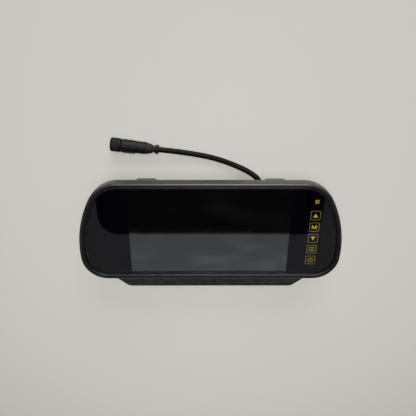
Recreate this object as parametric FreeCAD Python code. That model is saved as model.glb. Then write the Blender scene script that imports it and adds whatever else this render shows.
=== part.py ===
"""Clip-on mirror monitor for a rear-view camera, lying on its back with the screen up.

The origin is at the middle of the footprint, on the surface that the clip hooks stand on.
+X runs along the long side, +Y towards the upper edge, +Z out of the screen. Millimetres.
"""
import FreeCAD, Part
import math
import os

V = FreeCAD.Vector
X_AXIS = V(1, 0, 0)
Y_AXIS = V(0, 1, 0)
Z_AXIS = V(0, 0, 1)

# ---------------------------------------------------------------- driving dimensions
HOUSING_WIDTH = 254.2
HOUSING_HEIGHT = 101.6
CHIN_DROP = 12.8
HOOK_DEPTH = 10.0
RAIL_DEPTH = 10.0
COVER_DEPTH = 15.0
BEZEL_DEPTH = 4.8
RIM = 5.8
GROOVE_INSET = 2.0
GROOVE_WIDTH = 1.45
GROOVE_DEPTH = 0.75
TRENCH_WIDTH = 1.4
TRENCH_DEPTH = 0.6
BEVEL_WIDTH = 0.5
WALL = 2.2
SIDE_RADIUS = 115.0
TOP_CORNER_RADIUS = 30.0
BOTTOM_CORNER_RADIUS = 25.0
WIDEST_BELOW_TOP = 71.0
COVER_BACK_RADIUS = 10.0

GLASS_THICKNESS = 2.0
GLASS_BELOW_CREST = 1.8
GLASS_CLEARANCE = 0.2
FILM_THICKNESS = 0.1
WINDOW_FILM_THICKNESS = 0.15
WINDOW_FILM_OVERLAP = 0.3
TAPE_THICKNESS = 0.3
TAPE_WIDTH = 3.0
WEB_THICKNESS = 1.4
WEB_CLEARANCE = 0.3

LCD_WIDTH = 154.08
LCD_HEIGHT = 86.58
LCD_OFFSET_X = -1.4
LCD_ABOVE_RIM = 0.5
MODULE_BORDER = 5.4
MODULE_DEPTH = 5.0
GASKET_THICKNESS = 0.6
FRAME_SHEET = 0.3
CARRIER_THICKNESS = 0.7
CARRIER_EAR = 5.4
CELL_THICKNESS = 1.4
STRIP_THICKNESS = 1.2
STRIP_FROM_SIDE = 3.04
FLEX_WIDTH = 36.0
FLEX_ROOM = 12.0
FLEX_THICKNESS = 0.25
FLEX_REACH = 1.6
FLEX_OVERLAP = 5.0
RIBBON_WIDTH = 8.0
RIBBON_ABOVE_MIDDLE = 8.81

KEY_COLUMN_FROM_SIDE = 28.3
KEY_SIZE = 9.7
KEY_PITCH = 12.17
KEY_LINE = 0.7
TOP_KEY_BELOW_TOP = 33.0
STATUS_ABOVE_TOP_KEY = 14.2
STATUS_SIZE = 3.6
TOUCH_BOARD_WIDTH = 15.0
TOUCH_BOARD_THICKNESS = 1.2

BOARD_LENGTH = 92.0
BOARD_HEIGHT = 56.0
BOARD_THICKNESS = 1.6
BOARD_CENTRE_Y = 9.0
SPACER_HEIGHT = 0.8

CHIN_TOP_HALF = 95.5
CHIN_FOOT_HALF = 83.0
CHIN_LAND = 1.9
CHIN_FRONT_DROP = 2.0
CHIN_CORNER_RADIUS = 8.0

RAIL_INNER_SIDE = 58.8
RAIL_WIDTH = 10.0
RAIL_WALL = 1.5
RAIL_FLOOR = 2.0
RAIL_TOP_Y = 41.4
RAIL_BOTTOM_Y = -28.0
SLIDE_CLEARANCE = 0.3
HOOK_WIDTH = 19.8
HOOK_THICKNESS = 3.2
UPPER_HOOK_FACE_Y = 48.6
LOWER_HOOK_FACE_Y = -16.0
LIP_LENGTH = 8.0
LIP_THICKNESS = 3.0
LIP_INSET = 1.2
PAD_THICKNESS = 1.2
PAD_BELOW_RAIL = 2.4
CLIP_TRAVEL = 24.0
SPRING_DIAMETER = 3.7
SPRING_WIRE = 0.55
SPRING_REST = 38.0
PEG_LENGTH = 4.0
PEG_Y = 18.0
FLANGE_THICKNESS = 2.6

SCREW_SHANK = 1.3
SCREW_HEAD = 2.5
SCREW_HEAD_HEIGHT = 1.6

LABEL_THICKNESS = 0.3
OUTLET_FACE_Y = 20.0
GROMMET_NECK = 3.4
LEAD_TURN_Y = 14.6
LEAD_SOCKET_X = 36.0
LEAD_SOCKET_LENGTH = 9.0

CABLE_DIAMETER = 5.5
PLUG_ANGLE = 173.3
RING_LENGTH = 4.0
RING_DIAMETER = 9.2
NECK_LENGTH = 1.6
NECK_DIAMETER = 6.2
TAPER_LENGTH = 6.3
TAPER_START_DIAMETER = 8.2
REAR_BODY_LENGTH = 10.0
REAR_BODY_DIAMETER = 11.8
FRONT_BODY_LENGTH = 13.2
FRONT_BODY_DIAMETER = 12.8
KEY_RIB_HEIGHT = 1.8
KEY_RIB_WIDTH = 1.5
KEY_RIB_RISE = 0.7
NUT_GAP = 0.7
NUT_LENGTH = 9.8
NUT_DIAMETER = 13.3
NUT_BORE = 11.4
NUT_FLUTES = 16

# route of the cable's centre line, from the strain relief to the plug
CABLE_ROUTE = [
    (51.6, 30.4, 15.0),
    (51.6, 38.6, 14.4),
    (49.5, 46.4, 12.4),
    (44.9, 52.6, 9.2),
    (36.2, 57.8, 5.9),
    (25.4, 62.4, 3.7),
    (12.6, 67.2, 2.85),
    (-2.6, 71.7, 2.85),
    (-17.6, 74.6, 3.3),
    (-31.5, 77.1, 5.0),
    (-41.55, 78.7, 6.5),
    (-49.3, 79.6, 6.8),
]

# ---------------------------------------------------------------- levels worked out from them
TOP_Y = (HOUSING_HEIGHT + CHIN_DROP) / 2
BEZEL_BOTTOM_Y = TOP_Y - HOUSING_HEIGHT
CHIN_Y = -TOP_Y
WIDEST_Y = TOP_Y - WIDEST_BELOW_TOP
RAIL_FACE_Z = HOOK_DEPTH
BACK_Z = RAIL_FACE_Z + RAIL_DEPTH
PARTING_Z = BACK_Z + COVER_DEPTH
CREST_Z = PARTING_Z + BEZEL_DEPTH
GLASS_TOP_Z = CREST_Z - GLASS_BELOW_CREST
GLASS_BACK_Z = GLASS_TOP_Z - GLASS_THICKNESS
FILM_BACK_Z = GLASS_BACK_Z - FILM_THICKNESS
WEB_TOP_Z = FILM_BACK_Z - TAPE_THICKNESS
WEB_BACK_Z = WEB_TOP_Z - WEB_THICKNESS
MODULE_TOP_Z = WEB_BACK_Z - GASKET_THICKNESS
MODULE_BACK_Z = MODULE_TOP_Z - MODULE_DEPTH
CARRIER_BACK_Z = MODULE_BACK_Z - CARRIER_THICKNESS
BOARD_TOP_Z = CARRIER_BACK_Z - SPACER_HEIGHT
BOARD_BACK_Z = BOARD_TOP_Z - BOARD_THICKNESS
FLOOR_Z = BACK_Z + WALL
LCD_Y = BEZEL_BOTTOM_Y + RIM + LCD_ABOVE_RIM + LCD_HEIGHT / 2
KEY_X = HOUSING_WIDTH / 2 - KEY_COLUMN_FROM_SIDE
TOP_KEY_Y = TOP_Y - TOP_KEY_BELOW_TOP
STATUS_Y = TOP_KEY_Y + STATUS_ABOVE_TOP_KEY
KEY_YS = [TOP_KEY_Y - KEY_PITCH * number for number in range(5)]
HALF_WIDTH = HOUSING_WIDTH / 2
CLIP_X = RAIL_INNER_SIDE + RAIL_WIDTH / 2
MODULE_HALF_X = LCD_WIDTH / 2 + MODULE_BORDER
MODULE_HALF_Y = LCD_HEIGHT / 2 + MODULE_BORDER
MODULE_LEFT = LCD_OFFSET_X - MODULE_HALF_X
MODULE_RIGHT = LCD_OFFSET_X + MODULE_HALF_X
POSTS = [
    (side * x, y)
    for side in (-1, 1)
    for x, y in (
        (HALF_WIDTH - 38.6, TOP_Y - 7.2),
        (HALF_WIDTH - 14.1, TOP_Y - 47.2),
        (HALF_WIDTH - 27.1, BEZEL_BOTTOM_Y + 6.9),
    )
]
CARRIER_POSTS = [(x, LCD_Y + y) for x in (MODULE_LEFT - 3.4, MODULE_RIGHT + 3.4) for y in (22.0, -25.0)]
BOARD_CORNERS = [(x, BOARD_CENTRE_Y + y) for x in (-42.5, 42.5) for y in (-24.5, 24.5)]
RAIL_SCREWS = [(-6.2, RAIL_BOTTOM_Y - 6.0), (6.2, RAIL_BOTTOM_Y - 6.0), (RAIL_WIDTH / 2 + 5.2, 31.0)]


# ---------------------------------------------------------------- shape helpers
def box(x0, x1, y0, y1, z0, z1):
    """A box between two corners."""
    return Part.makeBox(x1 - x0, y1 - y0, z1 - z0, V(x0, y0, z0))


def rod(radius, x, y, z0, z1):
    """An upright cylinder."""
    return Part.makeCylinder(radius, z1 - z0, V(x, y, z0), Z_AXIS)


def prism(points, direction):
    """A closed polygon pushed along a direction."""
    corners = [V(*point) for point in points]
    return Part.Face(Part.makePolygon(corners + corners[:1])).extrude(direction)


def fuse_all(shapes):
    """One solid from several that touch."""
    first = shapes[0]
    return first.fuse(shapes[1:]).removeSplitter() if len(shapes) > 1 else first


def fillet_where(shape, radius, test):
    """Rounds the edges whose middle point passes the test."""
    edges = [e for e in shape.Edges if test(e.valueAt((e.FirstParameter + e.LastParameter) / 2), e)]
    return shape.makeFillet(radius, edges)


def flat_at(z):
    """A test for edges that lie in the level plane z."""
    return lambda middle, edge: edge.BoundBox.ZLength < 1e-4 and abs(middle.z - z) < 1e-4


def export(name, shape):
    """Writes one sub-part."""
    shape.exportStep("parts/" + name + ".step")


# ---------------------------------------------------------------- housing outline
def corner_centres():
    """Centres of the side, top-corner and bottom-corner arcs on the +X side."""
    side_x = HALF_WIDTH - SIDE_RADIUS
    top_y = TOP_Y - TOP_CORNER_RADIUS
    bottom_y = BEZEL_BOTTOM_Y + BOTTOM_CORNER_RADIUS
    top_x = side_x + math.sqrt((SIDE_RADIUS - TOP_CORNER_RADIUS) ** 2 - (top_y - WIDEST_Y) ** 2)
    bottom_x = side_x + math.sqrt((SIDE_RADIUS - BOTTOM_CORNER_RADIUS) ** 2 - (bottom_y - WIDEST_Y) ** 2)
    return (side_x, WIDEST_Y), (top_x, top_y), (bottom_x, bottom_y)


def on_arc(centre, radius, angle, side):
    """A point on an arc, mirrored to either side."""
    return V(side * (centre[0] + radius * math.cos(angle)), centre[1] + radius * math.sin(angle), 0)


def outline(inset, z):
    """The housing's outline, drawn inwards by inset, at level z."""
    side_c, top_c, bottom_c = corner_centres()
    up = math.atan2(top_c[1] - side_c[1], top_c[0] - side_c[0])
    down = math.atan2(bottom_c[1] - side_c[1], bottom_c[0] - side_c[0])
    quarter = math.pi / 2
    spans = [
        (bottom_c, BOTTOM_CORNER_RADIUS - inset, -quarter, down),
        (side_c, SIDE_RADIUS - inset, down, up),
        (top_c, TOP_CORNER_RADIUS - inset, up, quarter),
    ]
    edges = []
    for side in (1, -1):
        for centre, radius, start, stop in spans:
            ends = [on_arc(centre, radius, angle, side) for angle in (start, (start + stop) / 2, stop)]
            edges.append(Part.Arc(*ends).toShape())
    for centre, y in ((top_c, TOP_Y - inset), (bottom_c, BEZEL_BOTTOM_Y + inset)):
        edges.append(Part.LineSegment(V(-centre[0], y, 0), V(centre[0], y, 0)).toShape())
    wire = Part.Wire(Part.__sortEdges__(edges))
    wire.translate(V(0, 0, z))
    return wire


def plate(inset, z0, z1):
    """A slab with the housing's outline."""
    return Part.Face(outline(inset, z0)).extrude(V(0, 0, z1 - z0))


def lcd_box(grow_x, grow_low, grow_high, z0, z1):
    """A box round the display's active area."""
    x = LCD_WIDTH / 2 + grow_x
    y = LCD_HEIGHT / 2
    return box(LCD_OFFSET_X - x, LCD_OFFSET_X + x, LCD_Y - y - grow_low, LCD_Y + y + grow_high, z0, z1)


def key_box(half, z0, z1, extra_top=0.0, extra_bottom=0.0):
    """A box along the column of keys, with the status window at its upper end."""
    low = KEY_YS[-1] - KEY_SIZE / 2 - extra_bottom
    high = STATUS_Y + STATUS_SIZE / 2 + extra_top
    return box(KEY_X - half, KEY_X + half, low, high, z0, z1)


# ---------------------------------------------------------------- front
def make_front_bezel():
    """Front frame: rim with groove, ridge and a trench round the glass, rear web, posts and pegs."""
    rim = plate(0, PARTING_Z, CREST_Z)
    rim = fillet_where(rim, 1.7, flat_at(CREST_Z))
    opening = plate(RIM, PARTING_Z - 1, CREST_Z + 1)
    ridge_foot = RIM - TRENCH_WIDTH
    trench = plate(ridge_foot, GLASS_TOP_Z - TRENCH_DEPTH, CREST_Z + 1)
    bevel_rings = [outline(ridge_foot, GLASS_TOP_Z + 0.2), outline(ridge_foot - BEVEL_WIDTH, CREST_Z + 0.02)]
    bevel = Part.makeLoft(bevel_rings, True, True)
    groove_core = plate(GROOVE_INSET + GROOVE_WIDTH, CREST_Z - 2, CREST_Z + 2)
    groove = plate(GROOVE_INSET, CREST_Z - GROOVE_DEPTH, CREST_Z + 1).cut(groove_core)
    rim = rim.cut([opening, trench, bevel, groove])
    web = plate(WALL + WEB_CLEARANCE, WEB_BACK_Z, WEB_TOP_Z)
    windows = [
        lcd_box(0.5, LCD_ABOVE_RIM, 0.6, WEB_BACK_Z - 1, WEB_TOP_Z + 1),
        key_box(KEY_SIZE / 2 + 0.8, WEB_BACK_Z - 1, WEB_TOP_Z + 1, 1.0, 1.0),
    ]
    body = [rim, web.cut(windows)]
    for x, y in POSTS:
        body.append(rod(3.0, x, y, FLOOR_Z + 3.0, WEB_BACK_Z))
    for x, y in CARRIER_POSTS:
        body.append(rod(2.3, x, y, MODULE_BACK_Z, WEB_BACK_Z))
    for x, y in touch_pegs():
        body.append(rod(0.9, x, y, WEB_BACK_Z - TOUCH_BOARD_THICKNESS - 0.6, WEB_BACK_Z))
    pilots = [rod(SCREW_SHANK, x, y, FLOOR_Z + 2.0, WEB_BACK_Z - 1.0) for x, y in POSTS]
    pilots += [rod(SCREW_SHANK, x, y, MODULE_BACK_Z - 1, WEB_BACK_Z - 1.0) for x, y in CARRIER_POSTS]
    return fuse_all(body).cut(pilots)


def make_mirror_glass():
    """The dark mirror glass, dropped into the rim with a ground edge."""
    glass = plate(RIM + GLASS_CLEARANCE, GLASS_BACK_Z, GLASS_TOP_Z)
    edges = [e for e in glass.Edges if abs(e.BoundBox.ZMin - GLASS_TOP_Z) < 1e-4]
    return glass.makeChamfer(0.3, edges)


def key_legend(y, kind):
    """One printed key: a square ring and its symbol."""
    half = KEY_SIZE / 2
    z0, z1 = FILM_BACK_Z, GLASS_BACK_Z
    ring = box(KEY_X - half, KEY_X + half, y - half, y + half, z0, z1)
    ring = fillet_where(ring, 1.4, lambda m, e: e.BoundBox.ZLength > 0.05)
    inner = half - KEY_LINE
    ring = ring.cut(box(KEY_X - inner, KEY_X + inner, y - inner, y + inner, z0 - 1, z1 + 1))
    lift = V(0, 0, z1 - z0)
    if kind in ("up", "down"):
        tip = 2.0 if kind == "up" else -2.0
        points = [(KEY_X - 2.4, y - tip, z0), (KEY_X + 2.4, y - tip, z0), (KEY_X, y + tip, z0)]
        mark = [prism(points, lift)]
    elif kind == "menu":
        offsets = [(-2.4, -2), (-2.4, 2), (-1.4, 2), (0, -0.4), (1.4, 2), (2.4, 2), (2.4, -2), (1.5, -2)]
        offsets += [(1.5, 0.6), (0.35, -1.7), (-0.35, -1.7), (-1.5, 0.6), (-1.5, -2)]
        mark = [prism([(KEY_X + dx, y + dy, z0) for dx, dy in offsets], lift)]
    elif kind == "source":
        mark = [box(KEY_X - 2.8, KEY_X + 2.8, y + dy - 0.4, y + dy + 0.4, z0, z1) for dy in (-1.9, 0, 1.9)]
    else:
        circle = rod(2.6, KEY_X, y, z0, z1).cut(rod(1.8, KEY_X, y, z0 - 1, z1 + 1))
        circle = circle.cut(box(KEY_X - 1.0, KEY_X + 1.0, y, y + 4, z0 - 1, z1 + 1))
        mark = [circle, box(KEY_X - 0.4, KEY_X + 0.4, y + 0.2, y + 3.1, z0, z1)]
    return [ring] + mark


def make_key_legends():
    """All five printed keys, each mark its own solid."""
    kinds = ("up", "menu", "down", "source", "power")
    return [solid for y, kind in zip(KEY_YS, kinds) for solid in key_legend(y, kind)]


def make_status_window():
    """The small lit window above the keys."""
    half = STATUS_SIZE / 2
    return box(KEY_X - half, KEY_X + half, STATUS_Y - half, STATUS_Y + half, FILM_BACK_Z, GLASS_BACK_Z)


def make_mask_film(cut_outs):
    """The black print on the back of the glass, open over the display and the symbols."""
    film = plate(RIM + GLASS_CLEARANCE + 0.3, FILM_BACK_Z, GLASS_BACK_Z)
    return film.cut([lcd_box(0, 0, 0, FILM_BACK_Z - 1, GLASS_BACK_Z + 1)] + cut_outs)


def make_window_film():
    """Anti-glare film behind the glass, held by the print's edges round the display's window."""
    overlap = WINDOW_FILM_OVERLAP
    return lcd_box(overlap, overlap, overlap, FILM_BACK_Z - WINDOW_FILM_THICKNESS, FILM_BACK_Z)


def make_glass_tape():
    """Adhesive tape that holds the glass on the front frame's web."""
    inner = RIM + GLASS_CLEARANCE + 0.8
    ring = plate(inner, WEB_TOP_Z, FILM_BACK_Z).cut(plate(inner + TAPE_WIDTH, WEB_TOP_Z - 1, FILM_BACK_Z + 1))
    return ring.cut(lcd_box(0.5, 3.0, 0.6, WEB_TOP_Z - 1, FILM_BACK_Z + 1))


# ---------------------------------------------------------------- display
def module_box(inset, z0, z1):
    """A box with the display module's outline, drawn inwards."""
    x = MODULE_HALF_X - inset
    y = MODULE_HALF_Y - inset
    return box(LCD_OFFSET_X - x, LCD_OFFSET_X + x, LCD_Y - y, LCD_Y + y, z0, z1)


def make_display_gasket():
    """Foam frame between the display and the front frame."""
    opening = lcd_box(0.9, LCD_ABOVE_RIM, 0.9, MODULE_TOP_Z - 1, WEB_BACK_Z + 1)
    behind_web = plate(WALL + WEB_CLEARANCE, MODULE_TOP_Z, WEB_BACK_Z)
    return module_box(0.6, MODULE_TOP_Z, WEB_BACK_Z).common(behind_web).cut(opening)


def make_lcd_frame():
    """Thin sheet-metal frame that holds the display's layers."""
    can = module_box(0, MODULE_BACK_Z, MODULE_TOP_Z)
    inside = module_box(FRAME_SHEET, MODULE_BACK_Z - 1, MODULE_TOP_Z - FRAME_SHEET)
    window = lcd_box(0.9, 0.4, 0.9, MODULE_TOP_Z - 2, MODULE_TOP_Z + 1)
    edge = LCD_Y - MODULE_HALF_Y
    half = FLEX_WIDTH / 2 + FLEX_ROOM
    flex_slot = box(-half, half, edge - 1, edge + 1, MODULE_BACK_Z - 1, MODULE_BACK_Z + 3)
    return can.cut([inside, window, flex_slot])


def make_display_layers():
    """Glass cell, light guide and lamp strip inside the frame."""
    gap = FRAME_SHEET + 0.15
    cell_top = MODULE_TOP_Z - FRAME_SHEET
    cell = module_box(gap, cell_top - CELL_THICKNESS, cell_top)
    guide = module_box(gap, MODULE_BACK_Z, cell_top - CELL_THICKNESS)
    strip_y = LCD_Y - MODULE_HALF_Y + gap
    half = LCD_WIDTH / 2 - STRIP_FROM_SIDE
    x0, x1 = LCD_OFFSET_X - half, LCD_OFFSET_X + half
    strip_top = cell_top - CELL_THICKNESS - 0.4
    strip = box(x0, x1, strip_y, strip_y + STRIP_THICKNESS, MODULE_BACK_Z + 0.4, strip_top)
    return cell, guide.cut(strip), strip


def make_display_flex():
    """Flexible circuit from the display's lower edge round to the main board."""
    edge = LCD_Y - MODULE_HALF_Y
    bend = edge - FLEX_REACH
    exit_z = MODULE_BACK_Z + 1.2
    level = BOARD_TOP_Z
    end = BOARD_CENTRE_Y - BOARD_HEIGHT / 2 + FLEX_OVERLAP
    outside = [(edge, exit_z), (bend, exit_z), (bend, level), (end, level)]
    inside = [
        (end, level + FLEX_THICKNESS),
        (bend + FLEX_THICKNESS, level + FLEX_THICKNESS),
        (bend + FLEX_THICKNESS, exit_z - FLEX_THICKNESS),
        (edge, exit_z - FLEX_THICKNESS),
    ]
    return prism([(-FLEX_WIDTH / 2, y, z) for y, z in outside + inside], V(FLEX_WIDTH, 0, 0))


def make_lcd_carrier():
    """Sheet bracket behind the display, with ears on the front frame's posts."""
    sheet = [module_box(1.0, CARRIER_BACK_Z, MODULE_BACK_Z)]
    for x, y in CARRIER_POSTS:
        towards = 1 if x > 0 else -1
        inner = x - towards * CARRIER_EAR
        sheet.append(box(min(x, inner), max(x, inner), y - 3.2, y + 3.2, CARRIER_BACK_Z, MODULE_BACK_Z))
        sheet.append(rod(3.2, x, y, CARRIER_BACK_Z, MODULE_BACK_Z))
    bracket = fuse_all(sheet)
    holes = [rod(SCREW_SHANK + 0.1, x, y, CARRIER_BACK_Z - 1, MODULE_BACK_Z + 1) for x, y in CARRIER_POSTS]
    slots = [
        box(x - 12, x + 12, LCD_Y - 30, LCD_Y + 30, CARRIER_BACK_Z - 1, MODULE_BACK_Z + 1)
        for x in (LCD_OFFSET_X - 62, LCD_OFFSET_X + 62)
    ]
    return bracket.cut(holes + slots)


# ---------------------------------------------------------------- keys
def touch_pegs():
    """Places of the two pegs that the touch board is staked on."""
    low = KEY_YS[-1] - KEY_SIZE / 2 - 2.6
    high = STATUS_Y + STATUS_SIZE / 2 + 2.6
    return [(KEY_X, low), (KEY_X, high)]


def make_touch_board():
    """Narrow circuit board behind the column of keys."""
    back = WEB_BACK_Z - TOUCH_BOARD_THICKNESS
    board = key_box(TOUCH_BOARD_WIDTH / 2, back, WEB_BACK_Z, 4.2, 4.2)
    return board.cut([rod(1.0, x, y, back - 1, WEB_BACK_Z + 1) for x, y in touch_pegs()])


def make_touch_pads():
    """Five conductive foam rings between the touch board and the glass."""
    z0, z1 = WEB_BACK_Z, FILM_BACK_Z
    return [rod(4.0, KEY_X, y, z0, z1).cut(rod(2.0, KEY_X, y, z0 - 1, z1 + 1)) for y in KEY_YS]


def make_key_leds():
    """A lamp chip in the middle of each ring, and one under the status window."""
    x0, x1 = KEY_X - 0.8, KEY_X + 0.8
    return [box(x0, x1, y - 0.5, y + 0.5, WEB_BACK_Z, WEB_BACK_Z + 0.7) for y in KEY_YS + [STATUS_Y]]


def make_key_ribbon():
    """Flat ribbon from the touch board down and across to the main board."""
    start = KEY_X - TOUCH_BOARD_WIDTH / 2 + 2.5
    top = WEB_BACK_Z - TOUCH_BOARD_THICKNESS
    fall = start - 1.2
    end = BOARD_LENGTH / 2 - FLEX_OVERLAP
    level = BOARD_TOP_Z
    low = LCD_Y + RIBBON_ABOVE_MIDDLE
    high = low + RIBBON_WIDTH
    upper = box(fall - FLEX_THICKNESS, start, low, high, top - FLEX_THICKNESS, top)
    fall_strip = box(fall - FLEX_THICKNESS, fall, low, high, level, top)
    run = box(end, fall, low, high, level, level + FLEX_THICKNESS)
    return fuse_all([upper, fall_strip, run])


# ---------------------------------------------------------------- main board
def make_main_board():
    """Main circuit board, screwed under the carrier."""
    x = BOARD_LENGTH / 2
    y = BOARD_HEIGHT / 2
    board = box(-x, x, BOARD_CENTRE_Y - y, BOARD_CENTRE_Y + y, BOARD_BACK_Z, BOARD_TOP_Z)
    board = fillet_where(board, 2.0, lambda m, e: e.BoundBox.ZLength > 1.0)
    return board.cut([rod(SCREW_SHANK, x, y, BOARD_BACK_Z - 1, BOARD_TOP_Z + 1) for x, y in BOARD_CORNERS])


def make_board_spacers():
    """Rings that hold the board clear of the carrier."""
    z0, z1 = BOARD_TOP_Z, CARRIER_BACK_Z
    return [rod(2.6, x, y, z0, z1).cut(rod(SCREW_SHANK, x, y, z0 - 1, z1 + 1)) for x, y in BOARD_CORNERS]


def on_board(x, y, width, height, tall):
    """A component on the board's rear side."""
    half_x, half_y = width / 2, height / 2
    return box(x - half_x, x + half_x, y - half_y, y + half_y, BOARD_BACK_Z - tall, BOARD_BACK_Z)


def make_board_parts():
    """Component groups on the main board, one group per kind."""
    y = BOARD_CENTRE_Y
    return {
        "main_board_chips": [
            on_board(-12, y + 4, 14, 14, 1.4),
            on_board(14, y + 12, 9, 6, 1.2),
            on_board(-30, y + 12, 6, 5, 1.2),
            on_board(16, y - 8, 5, 4, 1.2),
        ],
        "board_capacitors": [
            rod(2.6, x, y + dy, BOARD_BACK_Z - 2.6, BOARD_BACK_Z)
            for x, dy in ((-34, -14), (-26, -14), (28, -6), (24, 6), (-2, -18))
        ],
        "board_inductors": [on_board(x, y - 18, 6, 6, 2.4) for x in (10, 20)],
        "board_connectors": [
            on_board(LEAD_SOCKET_X, LEAD_TURN_Y, LEAD_SOCKET_LENGTH, 6, 2.5),
            on_board(-22, y + 22.5, 7, 4, 2.0),
        ],
        "shield_can": [on_board(-14, y - 10, 16, 9, 2.0)],
    }


# ---------------------------------------------------------------- back
def chin_block(inset, z0, back_radius):
    """The part of the cover that hangs below the rim, with its sloping front."""
    foot = CHIN_Y + inset
    inner_y = BEZEL_BOTTOM_Y + 12.0
    land_y = BEZEL_BOTTOM_Y - CHIN_LAND + inset
    top_half = CHIN_TOP_HALF - inset
    foot_half = CHIN_FOOT_HALF - inset * 0.6
    top = PARTING_Z - inset
    corners = [(-top_half, inner_y), (-top_half, land_y + 1.0), (-foot_half, foot)]
    corners += [(-x, y) for x, y in reversed(corners)]
    block = prism([(x, y, z0) for x, y in corners], V(0, 0, top - z0))
    block = fillet_where(
        block, CHIN_CORNER_RADIUS - inset,
        lambda m, e: e.BoundBox.ZLength > 2 and abs(m.y - foot) < 0.01)
    slope = CHIN_FRONT_DROP / (land_y - foot)
    past = foot - 5.0
    wedge = [(land_y, top), (past, top - slope * (land_y - past)), (past, top + 3), (land_y, top + 3)]
    block = block.cut(prism([(-HALF_WIDTH, y, z) for y, z in wedge], V(HOUSING_WIDTH, 0, 0)))
    if back_radius:
        block = fillet_where(block, back_radius, lambda m, e: flat_at(z0)(m, e) and m.y < inner_y - 1)
    return block


def boss_places():
    """Screw places of both clip rails on the cover's back."""
    return [(side * (CLIP_X + dx), y) for side in (-1, 1) for dx, y in RAIL_SCREWS]


def make_rear_cover():
    """Rear shell with chin, screw bosses, vents and the cable outlet."""
    shell = fillet_where(plate(0, BACK_Z, PARTING_Z), COVER_BACK_RADIUS, flat_at(BACK_Z))
    outer = shell.fuse(chin_block(0, BACK_Z + 2.0, 3.0))
    hollow = fillet_where(plate(WALL, FLOOR_Z, PARTING_Z + 1), COVER_BACK_RADIUS - WALL, flat_at(FLOOR_Z))
    chin_hollow = chin_block(WALL, BACK_Z + 2.0 + WALL, 0)
    module_room = module_box(-0.3, MODULE_BACK_Z - 1.0, MODULE_TOP_Z + 0.2)
    body = outer.cut([hollow, chin_hollow, module_room])
    adds = []
    cuts = []
    for x, y in POSTS:
        adds.append(rod(3.8, x, y, BACK_Z + 0.5, FLOOR_Z + 3.0))
        cuts.append(rod(SCREW_SHANK + 0.2, x, y, BACK_Z - 1, FLOOR_Z + 4.0))
        cuts.append(rod(SCREW_HEAD + 0.3, x, y, BACK_Z - 10, BACK_Z + 2.6))
    for x, y in boss_places():
        adds.append(rod(2.8, x, y, BACK_Z + 0.5, FLOOR_Z + 3.0))
        cuts.append(rod(SCREW_SHANK, x, y, BACK_Z - 1, FLOOR_Z + 2.0))
    outlet_x, _, outlet_z = CABLE_ROUTE[0]
    block_end, room_end = RAIL_INNER_SIDE - 0.2, RAIL_INNER_SIDE - 1.0
    adds.append(box(outlet_x - 5.6, block_end, 8.0, OUTLET_FACE_Y, outlet_z - 5.2, BACK_Z + 0.5))
    cuts.append(box(outlet_x - 4.2, room_end, 9.6, OUTLET_FACE_Y - 1.6, outlet_z - 4.2, FLOOR_Z + 1))
    cuts.append(Part.makeCylinder(GROMMET_NECK, 8, V(outlet_x, OUTLET_FACE_Y - 4, outlet_z), Y_AXIS))
    for row in range(9):
        y = -34.0 + 3.2 * row
        for x in (-24.0, 0.0, 24.0):
            cuts.append(box(x - 9, x + 9, y - 0.7, y + 0.7, BACK_Z - 1, FLOOR_Z + 1))
    cuts.append(box(-28, 28, 8, 34, BACK_Z - 1, BACK_Z + LABEL_THICKNESS))
    return fuse_all([body] + adds).cut(cuts)


def make_rating_label():
    """Blank label, set flush in its recess."""
    label = box(-27.6, 27.6, 8.4, 33.6, BACK_Z, BACK_Z + LABEL_THICKNESS)
    return fillet_where(label, 1.5, lambda m, e: e.BoundBox.ZLength > 0.2)


def screw(x, y, head_z, tip_z):
    """A pan-head screw whose head faces down."""
    head = rod(SCREW_HEAD, x, y, head_z, head_z + SCREW_HEAD_HEIGHT)
    head = fillet_where(head, 0.6, flat_at(head_z))
    cross = [
        box(x - 1.4, x + 1.4, y - 0.3, y + 0.3, head_z - 1, head_z + 0.7),
        box(x - 0.3, x + 0.3, y - 1.4, y + 1.4, head_z - 1, head_z + 0.7),
    ]
    shank = rod(SCREW_SHANK - 0.05, x, y, head_z + SCREW_HEAD_HEIGHT, tip_z)
    return head.cut(cross).fuse(shank).removeSplitter()


def make_screw_groups():
    """Every group of identical screws."""
    seat = BACK_Z + 2.6 - SCREW_HEAD_HEIGHT
    flange = BACK_Z - FLANGE_THICKNESS
    return {
        "housing_screws": [screw(x, y, seat, FLOOR_Z + 9.0) for x, y in POSTS],
        "rail_screws": [screw(x, y, flange - SCREW_HEAD_HEIGHT, FLOOR_Z + 1.6) for x, y in boss_places()],
        "board_screws": [
            screw(x, y, BOARD_BACK_Z - SCREW_HEAD_HEIGHT, CARRIER_BACK_Z) for x, y in BOARD_CORNERS
        ],
        "carrier_screws": [
            screw(x, y, CARRIER_BACK_Z - SCREW_HEAD_HEIGHT, MODULE_BACK_Z + 4.0) for x, y in CARRIER_POSTS
        ],
    }


# ---------------------------------------------------------------- clips
def hook_face(y0, y1, low, high):
    """The upright of a hook, with its lower corners cut off."""
    half = HOOK_WIDTH / 2
    foot = half - LIP_INSET
    corners = [(half, high), (half, low + LIP_INSET), (foot, low)]
    corners += [(-x, z) for x, z in reversed(corners)]
    return prism([(x, y0, z) for x, z in corners], V(0, y1 - y0, 0))


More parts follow.
